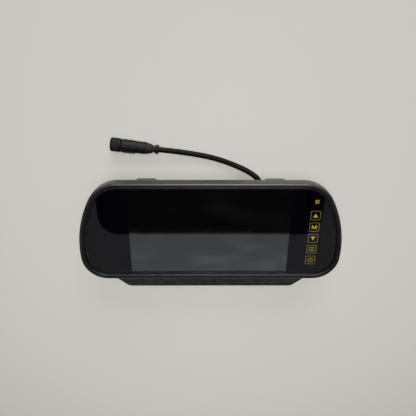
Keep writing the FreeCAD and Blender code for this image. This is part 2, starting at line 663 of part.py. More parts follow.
def make_rail(side):
    """Clip rail: a channel with its spring peg, a fixed lower hook and screw flanges."""
    half = RAIL_WIDTH / 2
    inner = half - RAIL_WALL
    rail = box(-half, half, RAIL_BOTTOM_Y, RAIL_TOP_Y, RAIL_FACE_Z, BACK_Z)
    channel = box(-inner, inner, RAIL_BOTTOM_Y + 2, RAIL_TOP_Y + 1, RAIL_FACE_Z + RAIL_FLOOR, BACK_Z + 1)
    rail = fillet_where(rail.cut(channel), 0.8, lambda m, e: flat_at(RAIL_FACE_Z)(m, e) and e.Length > 20)
    slot_half = SPRING_DIAMETER / 2 + 0.25
    peg_half = slot_half - SLIDE_CLEARANCE
    peg = box(-peg_half, peg_half, PEG_Y, PEG_Y + PEG_LENGTH, RAIL_FACE_Z + RAIL_FLOOR - 0.5, BACK_Z - 0.4)
    flange = box(-half - 5, half + 5, RAIL_BOTTOM_Y - 10, RAIL_BOTTOM_Y, BACK_Z - FLANGE_THICKNESS, BACK_Z)
    flange = fillet_where(flange, 2.5, lambda m, e: e.BoundBox.ZLength > 2 and m.y < RAIL_BOTTOM_Y - 5)
    ear_x, ear_y = RAIL_SCREWS[2]
    ear = box(half - 0.5, ear_x, ear_y - 4.2, ear_y + 4.2, BACK_Z - FLANGE_THICKNESS, BACK_Z)
    ear = ear.fuse(rod(4.2, ear_x, ear_y, BACK_Z - FLANGE_THICKNESS, BACK_Z))
    hook_y = LOWER_HOOK_FACE_Y
    upright = hook_face(hook_y, hook_y + HOOK_THICKNESS, 0, RAIL_FACE_Z + 1.0)
    lip_half = HOOK_WIDTH / 2 - LIP_INSET
    lip_end = hook_y + HOOK_THICKNESS + LIP_LENGTH
    lip = box(-lip_half, lip_half, hook_y, lip_end, 0, LIP_THICKNESS)
    lip = fillet_where(lip, 1.2, lambda m, e: m.y > lip_end - 0.01 and e.Length > 10)
    rib = prism([(-1.2, hook_y + 0.5, 1.5), (-1.2, hook_y + 0.5, RAIL_FACE_Z + 0.5),
                 (-1.2, hook_y - 9, RAIL_FACE_Z + 0.5)], V(2.4, 0, 0))
    body = fuse_all([rail, peg, flange, ear, upright, lip, rib])
    holes = [rod(SCREW_SHANK + 0.15, x, y, BACK_Z - 6, BACK_Z + 1) for x, y in RAIL_SCREWS]
    return place_clip(body.cut(holes), side)


def make_slider(side):
    """Sliding clip: a slotted bar with the upper hook."""
    half = RAIL_WIDTH / 2 - RAIL_WALL - SLIDE_CLEARANCE
    slot_half = SPRING_DIAMETER / 2 + 0.25
    z0 = RAIL_FACE_Z + RAIL_FLOOR + 0.4
    z1 = BACK_Z - 0.4
    inner_face = UPPER_HOOK_FACE_Y - HOOK_THICKNESS
    bar = box(-half, half, PEG_Y - SPRING_REST - 4, inner_face + 1, z0, z1)
    slot = box(-slot_half, slot_half, PEG_Y - SPRING_REST, PEG_Y + PEG_LENGTH + 0.3, z0 - 1, z1 + 1)
    upright = hook_face(inner_face, UPPER_HOOK_FACE_Y, 0, z1)
    upright = fillet_where(upright, 0.8, lambda m, e: abs(m.y - UPPER_HOOK_FACE_Y) < 0.01 and m.z < z1 - 0.1)
    lip_half = HOOK_WIDTH / 2 - LIP_INSET
    lip = box(-lip_half, lip_half, inner_face - LIP_LENGTH, inner_face + 0.5, 0, LIP_THICKNESS)
    lip = fillet_where(lip, 1.2, lambda m, e: m.y < inner_face - LIP_LENGTH + 0.01 and e.Length > 10)
    rib_side = [(inner_face + 0.5, z0 - 4), (inner_face + 0.5, z0 + 0.5), (inner_face - 3.2, z0 + 0.5)]
    ribs = [prism([(x, y, z) for y, z in rib_side], V(1.2, 0, 0)) for x in (-half, half - 1.2)]
    return place_clip(fuse_all([bar.cut(slot), upright, lip] + ribs), side)


def place_clip(shape, side):
    """Puts a clip piece at its rail, mirrored on the left."""
    if side < 0:
        shape = shape.mirror(V(0, 0, 0), X_AXIS)
    shape.translate(V(side * CLIP_X, 0, 0))
    return shape


def make_pad(side, face_y, towards):
    """Rubber pad on a hook's inner face."""
    half = HOOK_WIDTH / 2 - 3.0
    y0 = min(face_y, face_y + towards * PAD_THICKNESS)
    pad = box(-half, half, y0, y0 + PAD_THICKNESS, LIP_THICKNESS + 0.6, RAIL_FACE_Z - PAD_BELOW_RAIL)
    return place_clip(pad, side)


def make_spring(side):
    """The space that the coil spring fills, between the bar's slot end and the peg."""
    z = (RAIL_FACE_Z + RAIL_FLOOR + BACK_Z) / 2
    radius = SPRING_DIAMETER / 2
    start = V(0, PEG_Y - SPRING_REST, z)
    coil = Part.makeCylinder(radius, SPRING_REST, start, Y_AXIS)
    coil = coil.cut(Part.makeCylinder(radius - SPRING_WIRE, SPRING_REST, start, Y_AXIS))
    return place_clip(coil, side)


# ---------------------------------------------------------------- lead
def route_wire(points):
    """Straight runs joined by tangent arcs; prints each arc's radius."""
    route = [V(*point) for point in points]
    edges = []
    start = route[0]
    for before, corner, after in zip(route, route[1:], route[2:]):
        run_in = corner - before
        run_out = after - corner
        shorter = min(run_in.Length, run_out.Length)
        half_turn = run_in.getAngle(run_out) / 2
        reach = 0.45 * shorter
        radius = reach / math.tan(half_turn)
        way_in = V(run_in).normalize()
        way_out = V(run_out).normalize()
        first = corner - way_in * reach
        last = corner + way_out * reach
        bisector = (way_out - way_in).normalize()
        middle = corner + bisector * (radius / math.cos(half_turn) - radius)
        edges.append(Part.LineSegment(start, first).toShape())
        edges.append(Part.Arc(first, middle, last).toShape())
        print("arc radius %.1f mm, turn %.1f degrees" % (radius, math.degrees(2 * half_turn)))
        start = last
    edges.append(Part.LineSegment(start, route[-1]).toShape())
    return Part.Wire(edges)


def make_cable():
    """The free lead, as a tube along its route."""
    path = route_wire(CABLE_ROUTE)
    start = V(*CABLE_ROUTE[0])
    direction = V(*CABLE_ROUTE[1]) - start
    radius = CABLE_DIAMETER / 2
    section = Part.Wire([Part.Circle(start, direction, radius).toShape()])
    tube = path.makePipeShell([section], True, False)
    expected = math.pi * radius ** 2 * path.Length
    print("cable length %.1f mm, volume ratio %.4f" % (path.Length, tube.Volume / expected))
    return tube


def turned(profile, origin, axis):
    """A solid turned about an axis, from (distance along, radius) points."""
    points = [V(along, 0, radius) for along, radius in profile]
    face = Part.Face(Part.makePolygon(points + points[:1]))
    solid = face.revolve(V(0, 0, 0), X_AXIS, 360)
    solid.Placement = FreeCAD.Placement(origin, FreeCAD.Rotation(X_AXIS, axis))
    return solid


def make_grommet():
    """Rubber strain relief moulded on the lead, seated in the outlet's wall."""
    x, y, z = CABLE_ROUTE[0]
    bore = CABLE_DIAMETER / 2 - 0.9
    wall = 1.6
    neck = GROMMET_NECK - 0.02
    flange = GROMMET_NECK + 0.45
    length = y - OUTLET_FACE_Y
    profile = [(-wall - 1.2, bore), (-wall - 1.2, flange), (-wall, flange), (-wall, neck), (0, neck)]
    profile += [(0, 3.9), (1.6, 3.9), (1.6, 3.5), (2.4, 3.5), (2.4, 3.8), (4.0, 3.7)]
    profile += [(4.0, 3.3), (4.8, 3.3), (4.8, 3.6), (6.4, 3.5), (6.4, 3.15), (7.2, 3.15)]
    profile += [(7.2, 3.4), (length, 3.1), (length, bore)]
    return turned(profile, V(x, OUTLET_FACE_Y, z), Y_AXIS)


def make_inner_lead():
    """The lead's cores inside the strain relief and the outlet, up to the board."""
    x, y, z = CABLE_ROUTE[0]
    radius = CABLE_DIAMETER / 2 - 0.9
    turn = 3.0
    low_y = LEAD_TURN_Y
    top_z = BOARD_BACK_Z - 1.2
    short = turn * (1 - math.sqrt(0.5))
    bend_start, bend_end = V(x, low_y + turn, z), V(x, low_y, z + turn)
    edges = [
        Part.LineSegment(V(x, y, z), bend_start).toShape(),
        Part.Arc(bend_start, V(x, low_y + short, z + short), bend_end).toShape(),
        Part.LineSegment(bend_end, V(x, low_y, top_z)).toShape(),
    ]
    path = Part.Wire(edges)
    section = Part.Wire([Part.Circle(V(x, y, z), V(0, -1, 0), radius).toShape()])
    bundle = path.makePipeShell([section], True, False)
    end = LEAD_SOCKET_X + LEAD_SOCKET_LENGTH / 2
    run = box(end, x, low_y - radius * 0.6, low_y + radius * 0.6, top_z - 1.2, top_z)
    return bundle.fuse(run).removeSplitter()


# ---------------------------------------------------------------- plug
def plug_frame():
    """Start of the plug and its direction, from the cable towards the nut."""
    angle = math.radians(PLUG_ANGLE)
    return V(*CABLE_ROUTE[-1]), V(math.cos(angle), math.sin(angle), 0)


def plug_stations():
    """Distances along the plug at which its sections end."""
    ring = RING_LENGTH
    neck = ring + NECK_LENGTH
    taper = neck + TAPER_LENGTH
    rear = taper + REAR_BODY_LENGTH
    front = rear + FRONT_BODY_LENGTH
    nut = front + NUT_GAP
    return ring, neck, taper, rear, front, nut, nut + NUT_LENGTH


def ring_of(r0, r1, s0, s1, chamfer=0.0):
    """A turned ring or disc along the plug, with chamfered outer edges."""
    origin, axis = plug_frame()
    profile = [(s0, r0), (s0, r1 - chamfer), (s1, r1 - chamfer), (s1, r0)]
    if chamfer > 0:
        profile[2:2] = [(s0 + chamfer, r1), (s1 - chamfer, r1)]
    return turned(profile, origin, axis)


def make_plug():
    """All pieces of the plug, by name."""
    origin, axis = plug_frame()
    ring, neck, taper, rear, front, nut, tip = plug_stations()
    rear_r = REAR_BODY_DIAMETER / 2
    front_r = FRONT_BODY_DIAMETER / 2
    bore = NUT_BORE / 2
    collar = bore - 1.0
    neck_r = NECK_DIAMETER / 2
    tail_profile = [(ring, 0), (ring, neck_r), (neck, neck_r), (neck, TAPER_START_DIAMETER / 2)]
    tail_profile += [(taper - 1.6, rear_r - 0.7), (taper, rear_r - 0.5), (taper, 0)]
    body_profile = [(taper, 0), (taper, rear_r - 0.3), (taper + 0.3, rear_r), (rear - 0.2, rear_r)]
    body_profile += [(rear, front_r - 0.35), (front - 0.5, front_r), (front, front_r - 0.5), (front, collar)]
    bowl = collar - 0.7
    body_profile += [(tip - 1.6, collar), (tip - 1.6, bowl), (front - 6, bowl), (front - 6, 0)]
    body = turned(body_profile, origin, axis)
    side_way = axis.cross(Z_AXIS)
    key = Part.makeBox(FRONT_BODY_LENGTH - 1.2, KEY_RIB_HEIGHT, KEY_RIB_WIDTH)
    key.Placement = FreeCAD.Placement(V(0, 0, 0), FreeCAD.Rotation(axis, side_way, Z_AXIS, "XYZ"))
    key_foot = side_way * -(front_r + KEY_RIB_RISE) - Z_AXIS * (KEY_RIB_WIDTH / 2)
    key.translate(origin + axis * (rear + 0.4) + key_foot)
    nut_r = NUT_DIAMETER / 2
    shell = ring_of(bore, nut_r, nut, tip, 0.7)
    back_wall = ring_of(collar + SLIDE_CLEARANCE, bore + 0.3, nut, nut + 1.4)
    flutes = []
    for number in range(NUT_FLUTES):
        angle = 2 * math.pi * number / NUT_FLUTES
        out = side_way * math.cos(angle) + Z_AXIS * math.sin(angle)
        start = origin + axis * (nut + 1.6) + out * (nut_r + 0.45)
        flutes.append(Part.makeCylinder(0.8, NUT_LENGTH, start, axis))
    insert_end = tip - 3.2
    pins = []
    for number in range(4):
        angle = math.pi / 4 + number * math.pi / 2
        out = side_way * math.cos(angle) + Z_AXIS * math.sin(angle)
        pins.append(Part.makeCylinder(0.5, 7.0, origin + axis * (insert_end - 4.5) + out * 2.0, axis))
    insert = ring_of(0, bowl, front - 6, insert_end).cut(pins)
    return {
        "plug_ring": ring_of(0, RING_DIAMETER / 2, 0, ring, 0.5),
        "plug_tail": turned(tail_profile, origin, axis),
        "plug_body": body.fuse(key).removeSplitter(),
        "plug_o_ring": ring_of(collar, collar + 0.65, nut + 1.75, nut + 2.75),
        "contact_insert": insert,
        "contact_pins": pins,
        "coupling_nut": shell.fuse(back_wall).cut(flutes).removeSplitter(),
    }


# ---------------------------------------------------------------- the whole part
def build():
    """Makes every sub-part, by node name."""
    legends = make_key_legends()
    window = make_status_window()
    cell, guide, strip = make_display_layers()
    parts = {
        "front_bezel": make_front_bezel(),
        "mirror_glass": make_mirror_glass(),
        "key_legends": legends,
        "status_window": window,
        "mask_film": make_mask_film(legends + [window]),
        "window_film": make_window_film(),
        "glass_tape": make_glass_tape(),
        "display_gasket": make_display_gasket(),
        "lcd_frame": make_lcd_frame(),
        "lcd_cell": cell,
        "light_guide": guide,
        "led_strip": strip,
        "display_flex": make_display_flex(),
        "lcd_carrier": make_lcd_carrier(),
        "touch_board": make_touch_board(),
        "touch_pads": make_touch_pads(),
        "key_leds": make_key_leds(),
        "key_ribbon": make_key_ribbon(),
        "main_board": make_main_board(),
        "board_spacers": make_board_spacers(),
        "rear_cover": make_rear_cover(),
        "rating_label": make_rating_label(),
        "cable_grommet": make_grommet(),
        "inner_lead": make_inner_lead(),
        "cable": make_cable(),
    }
    parts.update(make_board_parts())
    parts.update(make_screw_groups())
    parts.update(make_plug())
    for side, name in ((-1, "left"), (1, "right")):
        parts[name + "_rail"] = make_rail(side)
        parts[name + "_slider"] = make_slider(side)
        parts[name + "_spring"] = make_spring(side)
        parts[name + "_upper_pad"] = make_pad(side, UPPER_HOOK_FACE_Y - HOOK_THICKNESS, -1)
        parts[name + "_lower_pad"] = make_pad(side, LOWER_HOOK_FACE_Y + HOOK_THICKNESS, 1)
    return parts


def main():
    """Builds and writes the sub-parts."""
    os.makedirs("parts", exist_ok=True)
    for name, shape in build().items():
        if isinstance(shape, list):
            shape = Part.makeCompound(shape)
        export(name, shape)
        bad = [solid for solid in shape.Solids if not solid.isValid() or solid.Volume <= 0]
        note = " INVALID" if bad else ""
        print("%-18s %2d solids, %.0f mm3%s" % (name, len(shape.Solids), shape.Volume, note))


main()
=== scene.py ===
"""Looks of the clip-on mirror monitor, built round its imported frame. Metres, screen up (+Z)."""
import logging
import math
from dataclasses import dataclass
from enum import Enum

import bmesh
import bpy
from mathutils import Matrix, Vector


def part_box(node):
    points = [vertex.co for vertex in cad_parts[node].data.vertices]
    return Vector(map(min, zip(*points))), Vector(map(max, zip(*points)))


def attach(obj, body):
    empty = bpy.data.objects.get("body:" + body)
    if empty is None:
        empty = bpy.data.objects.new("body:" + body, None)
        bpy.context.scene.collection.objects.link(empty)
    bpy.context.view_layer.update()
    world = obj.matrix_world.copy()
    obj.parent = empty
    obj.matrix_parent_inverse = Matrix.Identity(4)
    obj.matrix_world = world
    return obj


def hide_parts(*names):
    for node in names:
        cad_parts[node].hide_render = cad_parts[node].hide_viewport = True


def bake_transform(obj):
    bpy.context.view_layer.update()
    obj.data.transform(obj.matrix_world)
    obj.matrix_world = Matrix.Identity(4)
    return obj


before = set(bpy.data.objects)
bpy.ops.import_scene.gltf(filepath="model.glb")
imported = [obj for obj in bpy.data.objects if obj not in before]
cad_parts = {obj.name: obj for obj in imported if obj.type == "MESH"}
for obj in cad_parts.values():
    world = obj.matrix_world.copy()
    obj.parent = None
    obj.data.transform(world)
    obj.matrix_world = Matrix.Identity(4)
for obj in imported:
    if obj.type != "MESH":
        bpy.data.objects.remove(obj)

LOG = logging.getLogger("mirror_monitor")
MM = 0.001
Z_UP = Vector((0.0, 0.0, 1.0))
FLAT_ANGLE = math.radians(32.0)
MERGE_DISTANCE = 1e-7
AXIS_RADIUS = 0.02
Colour = tuple[float, float, float]
Socket = bpy.types.NodeSocket
Tree = bpy.types.NodeTree


class Side(Enum):
    """The two clips, by the sign of their X."""

    LEFT = -1
    RIGHT = 1

    @property
    def word(self) -> str:
        """Name of the side in node names."""
        return self.name.lower()


# ------------------------------------------------------------------ mesh helpers
def new_mesh(
    name: str, points: list[Vector], faces: list[tuple], smooth: bool = True
) -> bpy.types.Object:
    """Makes a mesh object from points and faces.

    Args:
        name: Name of the piece.
        points: Corner points in metres, in the row frame.
        faces: Corner numbers of each face.
        smooth: Whether faces are shaded smooth, split at sharp edges.

    Returns:
        The object, linked to the scene.
    """
    mesh = bpy.data.meshes.new(name)
    mesh.from_pydata([tuple(point) for point in points], [], faces)
    tidy = bmesh.new()
    tidy.from_mesh(mesh)
    bmesh.ops.remove_doubles(tidy, verts=tidy.verts, dist=MERGE_DISTANCE)
    bmesh.ops.recalc_face_normals(tidy, faces=tidy.faces)
    tidy.to_mesh(mesh)
    tidy.free()
    if smooth:
        mesh.shade_smooth()
        mesh.set_sharp_from_angle(angle=FLAT_ANGLE)
    piece = bpy.data.objects.new(name, mesh)
    bpy.context.scene.collection.objects.link(piece)
    return piece


def bridge_rings(rings: list[list[Vector]], closed_loop: bool) -> tuple[list[Vector], list[tuple]]:
    """Joins rings of equal length with quads.

    Args:
        rings: Rings of points, one after the other.
        closed_loop: Whether the last ring joins the first; otherwise both ends get a cap.

    Returns:
        The points and the faces.
    """
    count = len(rings[0])
    points = [point for ring in rings for point in ring]
    faces = []
    last = len(rings) if closed_loop else len(rings) - 1
    for row in range(last):
        below = row * count
        above = ((row + 1) % len(rings)) * count
        for step in range(count):
            after = (step + 1) % count
            faces.append((below + step, below + after, above + after, above + step))
    if not closed_loop:
        faces.append(tuple(reversed(range(count))))
        faces.append(tuple(range((len(rings) - 1) * count, len(rings) * count)))
    return points, faces


def turned(
    name: str, profile: list[tuple], origin: Vector, axis: Vector, steps: int = 72
) -> bpy.types.Object:
    """Turns a profile about an axis.

    Args:
        name: Name of the piece.
        profile: (distance along, radius) pairs in millimetres; the ends close on the axis.
        origin: Where distance along is zero, in metres.
        axis: Unit direction of the axis.
        steps: Facets round the axis.

    Returns:
        The turned piece.
    """
    across = axis.cross(Z_UP).normalized()
    upright = across.cross(axis).normalized()
    rings = []
    for along, radius in profile:
        ring = []
        for step in range(steps):
            turn = 2 * math.pi * step / steps
            out = across * math.cos(turn) + upright * math.sin(turn)
            ring.append(origin + axis * (along * MM) + out * (max(radius, AXIS_RADIUS) * MM))
        rings.append(ring)
    points, faces = bridge_rings(rings, closed_loop=False)
    return new_mesh(name, points, faces)


def tube_along(name: str, path: list[Vector], radius: float, steps: int = 12) -> bpy.types.Object:
    """A round wire along a path.

    Args:
        name: Name of the piece.
        path: Points on the wire's centre line, in metres.
        radius: Radius of the wire in metres.
        steps: Facets round the wire.

    Returns:
        The wire with closed ends.
    """
    rings = []
    reference = Z_UP
    for number, point in enumerate(path):
        before = path[max(number - 1, 0)]
        after = path[min(number + 1, len(path) - 1)]
        way = (after - before).normalized()
        across = way.cross(reference).normalized()
        reference = across.cross(way).normalized()
        ring = []
        for step in range(steps):
            turn = 2 * math.pi * step / steps
            ring.append(point + (across * math.cos(turn) + reference * math.sin(turn)) * radius)
        rings.append(ring)
    points, faces = bridge_rings(rings, closed_loop=False)
    return new_mesh(name, points, faces)


# ------------------------------------------------------------------ shader groups
class Effects:
    """Shader groups shared by several finishes, each built once."""

    def __init__(self) -> None:
        """Builds every group."""
        self.grain = self._grain()
        self.wear = self._wear()
        self.film = self._film()

    @staticmethod
    def _start(
        name: str, inputs: list[tuple[str, float]], outputs: list[str]
    ) -> tuple[Tree, bpy.types.Node, bpy.types.Node]:
        """Opens a group.

        Args:
            name: Name of the group.
            inputs: (name, value) pairs of plain numbers.
            outputs: Names of the number outputs.

        Returns:
            The tree, its input node and its output node.
        """
        tree = bpy.data.node_groups.new(name, "ShaderNodeTree")
        for label, value in inputs:
            socket = tree.interface.new_socket(label, in_out="INPUT", socket_type="NodeSocketFloat")
            socket.default_value = value
        for label in outputs:
            tree.interface.new_socket(label, in_out="OUTPUT", socket_type="NodeSocketFloat")
        return tree, tree.nodes.new("NodeGroupInput"), tree.nodes.new("NodeGroupOutput")

    @staticmethod
    def _noise(tree: Tree, scale: Socket | float, detail: float, place: Socket) -> bpy.types.Node:
        """Adds a noise texture.

        Args:
            tree: Tree to add to.
            scale: Scale of the noise, a socket or a number.
            detail: Number of finer layers.
            place: Coordinates that the noise follows.

        Returns:
            The texture node.
        """
        noise = tree.nodes.new("ShaderNodeTexNoise")
        noise.inputs["Detail"].default_value = detail
        tree.links.new(place, noise.inputs["Vector"])
        if isinstance(scale, (int, float)):
            noise.inputs["Scale"].default_value = scale
        else:
            tree.links.new(scale, noise.inputs["Scale"])
        return noise

    @staticmethod
    def _ramp(tree: Tree, value: Socket, low: float, high: float) -> bpy.types.Node:
        """Adds a smooth step.

        Args:
            tree: Tree to add to.
            value: Value to step.
            low: Where the step starts.
            high: Where it ends.

        Returns:
            The step's node.
        """
        step = tree.nodes.new("ShaderNodeMapRange")
        step.interpolation_type = "SMOOTHSTEP"
        step.inputs["From Min"].default_value = low
        step.inputs["From Max"].default_value = high
        tree.links.new(value, step.inputs["Value"])
        return step

    @staticmethod
    def math_node(tree: Tree, kind: str, one: Socket, two: Socket | float) -> Socket:
        """Adds one arithmetic node.

        Args:
            tree: Tree to add to.
            kind: Blender's name of the operation.
            one: First value.
            two: Second value, a socket or a number.

        Returns:
            The result's socket.
        """
        node = tree.nodes.new("ShaderNodeMath")
        node.operation = kind
        tree.links.new(one, node.inputs[0])
        if isinstance(two, float):
            node.inputs[1].default_value = two
        else:
            tree.links.new(two, node.inputs[1])
        return node.outputs[0]

    def _grain(self) -> Tree:
        """Fine moulded grain: Height for bump, Tone for colour and roughness changes.

        Returns:
            The group's tree.
        """
        inputs = [("Scale", 900.0), ("Tone Scale", 30.0)]
        tree, given, out = self._start("moulded_grain", inputs, ["Height", "Tone"])
        place = tree.nodes.new("ShaderNodeTexCoord").outputs["Object"]
        cells = tree.nodes.new("ShaderNodeTexVoronoi")
        cells.feature = "SMOOTH_F1"
        tree.links.new(place, cells.inputs["Vector"])
        tree.links.new(given.outputs["Scale"], cells.inputs["Scale"])
        fine = self._noise(tree, given.outputs["Scale"], 3.0, place)
        height = self.math_node(tree, "ADD", cells.outputs["Distance"], fine.outputs["Fac"])
        tone = self._noise(tree, given.outputs["Tone Scale"], 5.0, place)
        tree.links.new(height, out.inputs["Height"])
        tree.links.new(tone.outputs["Fac"], out.inputs["Tone"])
        return tree

    def _wear(self) -> Tree:
        """Rubbed edges: Mask is high on convex edges, broken up by noise.

        Returns:
            The group's tree.
        """
        inputs = [("Low", 0.52), ("High", 0.62), ("Breakup", 160.0)]
        tree, given, out = self._start("edge_wear", inputs, ["Mask"])
        place = tree.nodes.new("ShaderNodeTexCoord").outputs["Object"]
        shape = tree.nodes.new("ShaderNodeNewGeometry").outputs["Pointiness"]
        edge = tree.nodes.new("ShaderNodeMapRange")
        tree.links.new(shape, edge.inputs["Value"])
        tree.links.new(given.outputs["Low"], edge.inputs["From Min"])
        tree.links.new(given.outputs["High"], edge.inputs["From Max"])
        noise = self._noise(tree, given.outputs["Breakup"], 4.0, place)
        broken = self._ramp(tree, noise.outputs["Fac"], 0.35, 0.7)
        mask = self.math_node(tree, "MULTIPLY", edge.outputs[0], broken.outputs[0])
        tree.links.new(mask, out.inputs["Mask"])
        return tree

    def _film(self) -> Tree:
        """Handling film: Smear for faint wiped bands, Specks for settled dust.

        Returns:
            The group's tree.
        """
        tree, given, out = self._start("handling_film", [("Size", 1.0)], ["Smear", "Specks"])
        place = tree.nodes.new("ShaderNodeTexCoord").outputs["Object"]
        stretch = tree.nodes.new("ShaderNodeMapping")
        stretch.inputs["Scale"].default_value = (14.0, 42.0, 20.0)
        stretch.inputs["Rotation"].default_value = (0.0, 0.0, 0.35)
        tree.links.new(place, stretch.inputs["Vector"])
        bands = self._noise(tree, given.outputs["Size"], 6.0, stretch.outputs["Vector"])
        smear = self._ramp(tree, bands.outputs["Fac"], 0.46, 0.74)
        dots = tree.nodes.new("ShaderNodeTexVoronoi")
        dots.inputs["Scale"].default_value = 520.0
        tree.links.new(place, dots.inputs["Vector"])
        speck = self._ramp(tree, dots.outputs["Distance"], 0.10, 0.02)
        patch = self._noise(tree, 60.0, 2.0, place)
        some = self._ramp(tree, patch.outputs["Fac"], 0.52, 0.66)
        specks = self.math_node(tree, "MULTIPLY", speck.outputs[0], some.outputs[0])
        tree.links.new(smear.outputs[0], out.inputs["Smear"])
        tree.links.new(specks, out.inputs["Specks"])
        return tree


EFFECTS = Effects()


# ------------------------------------------------------------------ finishes
class Paint:
    """A material being made, with its Principled shader."""

    def __init__(self, name: str) -> None:
        """Starts an empty material with one Principled shader.

        Args:
            name: Name of the material.
        """
        self.material = bpy.data.materials.new(name)
        self.material.use_nodes = True
        self.tree = self.material.node_tree
        self.shader = self.tree.nodes["Principled BSDF"]

    def group(self, tree: Tree, **values: float) -> bpy.types.Node:
        """Places a shared group.

        Args:
            tree: The group's tree.
            **values: This material's values of the group's inputs, with _ for a space.

        Returns:
            The group's node.
        """
        node = self.tree.nodes.new("ShaderNodeGroup")
        node.node_tree = tree
        for label, value in values.items():
            node.inputs[label.replace("_", " ")].default_value = value
        return node

    def blend(self, factor: Socket, one: Socket | Colour, two: Socket | Colour) -> Socket:
        """Mixes two colours by a mask.

        Args:
            factor: The mask; 0 gives the first colour.
            one: First colour.
            two: Second colour.

        Returns:
            The mixed colour's socket.
        """
        mix = self.tree.nodes.new("ShaderNodeMix")
        mix.data_type = "RGBA"
        self.tree.links.new(factor, mix.inputs["Factor"])
        for label, value in (("A", one), ("B", two)):
            socket = next(item for item in mix.inputs if item.name == label and item.type == "RGBA")
            if isinstance(value, tuple):
                socket.default_value = (*value, 1.0)
            else:
                self.tree.links.new(value, socket)
        return next(item for item in mix.outputs if item.type == "RGBA")

    def span(self, value: Socket, low: float, high: float) -> Socket:
        """Maps a mask from 0..1 to another range.

        Args:
            value: The mask.
            low: What 0 becomes.
            high: What 1 becomes.

        Returns:
            The mapped value's socket.
        """
        node = self.tree.nodes.new("ShaderNodeMapRange")
        node.inputs["To Min"].default_value = low
        node.inputs["To Max"].default_value = high
        self.tree.links.new(value, node.inputs["Value"])
        return node.outputs[0]

    def bump(self, height: Socket, strength: float, distance: float) -> None:
        """Feeds a height into the shader's normal.

        Args:
            height: The height.
            strength: Share of the bump that is used.
            distance: Depth of the bump in millimetres.
        """
        node = self.tree.nodes.new("ShaderNodeBump")
        node.inputs["Strength"].default_value = strength
        node.inputs["Distance"].default_value = distance * MM
        self.tree.links.new(height, node.inputs["Height"])
        self.tree.links.new(node.outputs["Normal"], self.shader.inputs["Normal"])

    def feed(self, label: str, socket: Socket) -> None:
        """Links a socket to the shader."""
        self.tree.links.new(socket, self.shader.inputs[label])


@dataclass(frozen=True)
class MouldedFinish:
    """Moulded plastic or rubber with grain, tone changes, rubbed edges and a little dust."""

    name: str
    colour: Colour
    rubbed: Colour
    roughness: float
    grain_scale: float = 1500.0
    grain_depth: float = 0.03
    grain_strength: float = 0.35
    dust: float = 0.05
    gloss: float = 0.5
    tone_scale: float = 45.0
    tone_change: float = 0.18
    roughness_change: float = 0.07
    dust_colour: Colour = (0.55, 0.53, 0.5)

    def make(self) -> bpy.types.Material:
        """Builds the material.

        Returns:
            The finished material.
        """
        paint = Paint(self.name)
        paint.shader.inputs["Specular IOR Level"].default_value = self.gloss
        grain = paint.group(EFFECTS.grain, Scale=self.grain_scale, Tone_Scale=self.tone_scale)
        wear = paint.group(EFFECTS.wear)
        film = paint.group(EFFECTS.film)
        deep = tuple((1.0 - self.tone_change) * part for part in self.colour)
        pale = tuple((1.0 + self.tone_change) * part for part in self.colour)
        base = paint.blend(grain.outputs["Tone"], deep, pale)
        base = paint.blend(wear.outputs["Mask"], base, self.rubbed)
        dust = paint.span(film.outputs["Specks"], 0.0, self.dust)
        base = paint.blend(dust, base, self.dust_colour)
        paint.feed("Base Color", base)
        smooth, rough = self.roughness - self.roughness_change, self.roughness + self.roughness_change
        paint.feed("Roughness", paint.span(grain.outputs["Tone"], smooth, rough))
        paint.bump(grain.outputs["Height"], self.grain_strength, self.grain_depth)
        return paint.material


@dataclass(frozen=True)
class MetalFinish:
    """Bare or plated metal with fine drawn marks."""

    name: str
    colour: Colour
    roughness: float

    def make(self) -> bpy.types.Material:
        """Builds the material.

        Returns:
            The finished material.
        """
        paint = Paint(self.name)
        paint.shader.inputs["Metallic"].default_value = 1.0
        grain = paint.group(EFFECTS.grain, Scale=2600.0, Tone_Scale=220.0)
        film = paint.group(EFFECTS.film)
        dull = tuple(0.78 * part for part in self.colour)
        paint.feed("Base Color", paint.blend(grain.outputs["Tone"], dull, self.colour))
        paint.feed("Roughness", paint.span(film.outputs["Smear"], self.roughness, self.roughness + 0.14))
        paint.bump(grain.outputs["Height"], 0.12, 0.01)
        return paint.material


INK_GRAIN = 2200.0
INK_TONE = 900.0


@dataclass(frozen=True)
class PrintFinish:
    """Printed ink or film seen behind glass, slightly uneven."""

    name: str
    colour: Colour
    thin: Colour
    roughness: float = 0.5
    roughness_change: float = 0.1

    def make(self) -> bpy.types.Material:
        """Builds the material.

        Returns:
            The finished material.
        """
        paint = Paint(self.name)
        grain = paint.group(EFFECTS.grain, Scale=INK_GRAIN, Tone_Scale=INK_TONE)
        ink = paint.blend(grain.outputs["Tone"], self.thin, self.colour)
        paint.feed("Base Color", ink)
        smooth, rough = self.roughness - self.roughness_change, self.roughness + self.roughness_change
        paint.feed("Roughness", paint.span(grain.outputs["Tone"], smooth, rough))
        paint.shader.inputs["Specular IOR Level"].default_value = 0.0
        paint.bump(grain.outputs["Height"], 0.1, 0.01)
        return paint.material


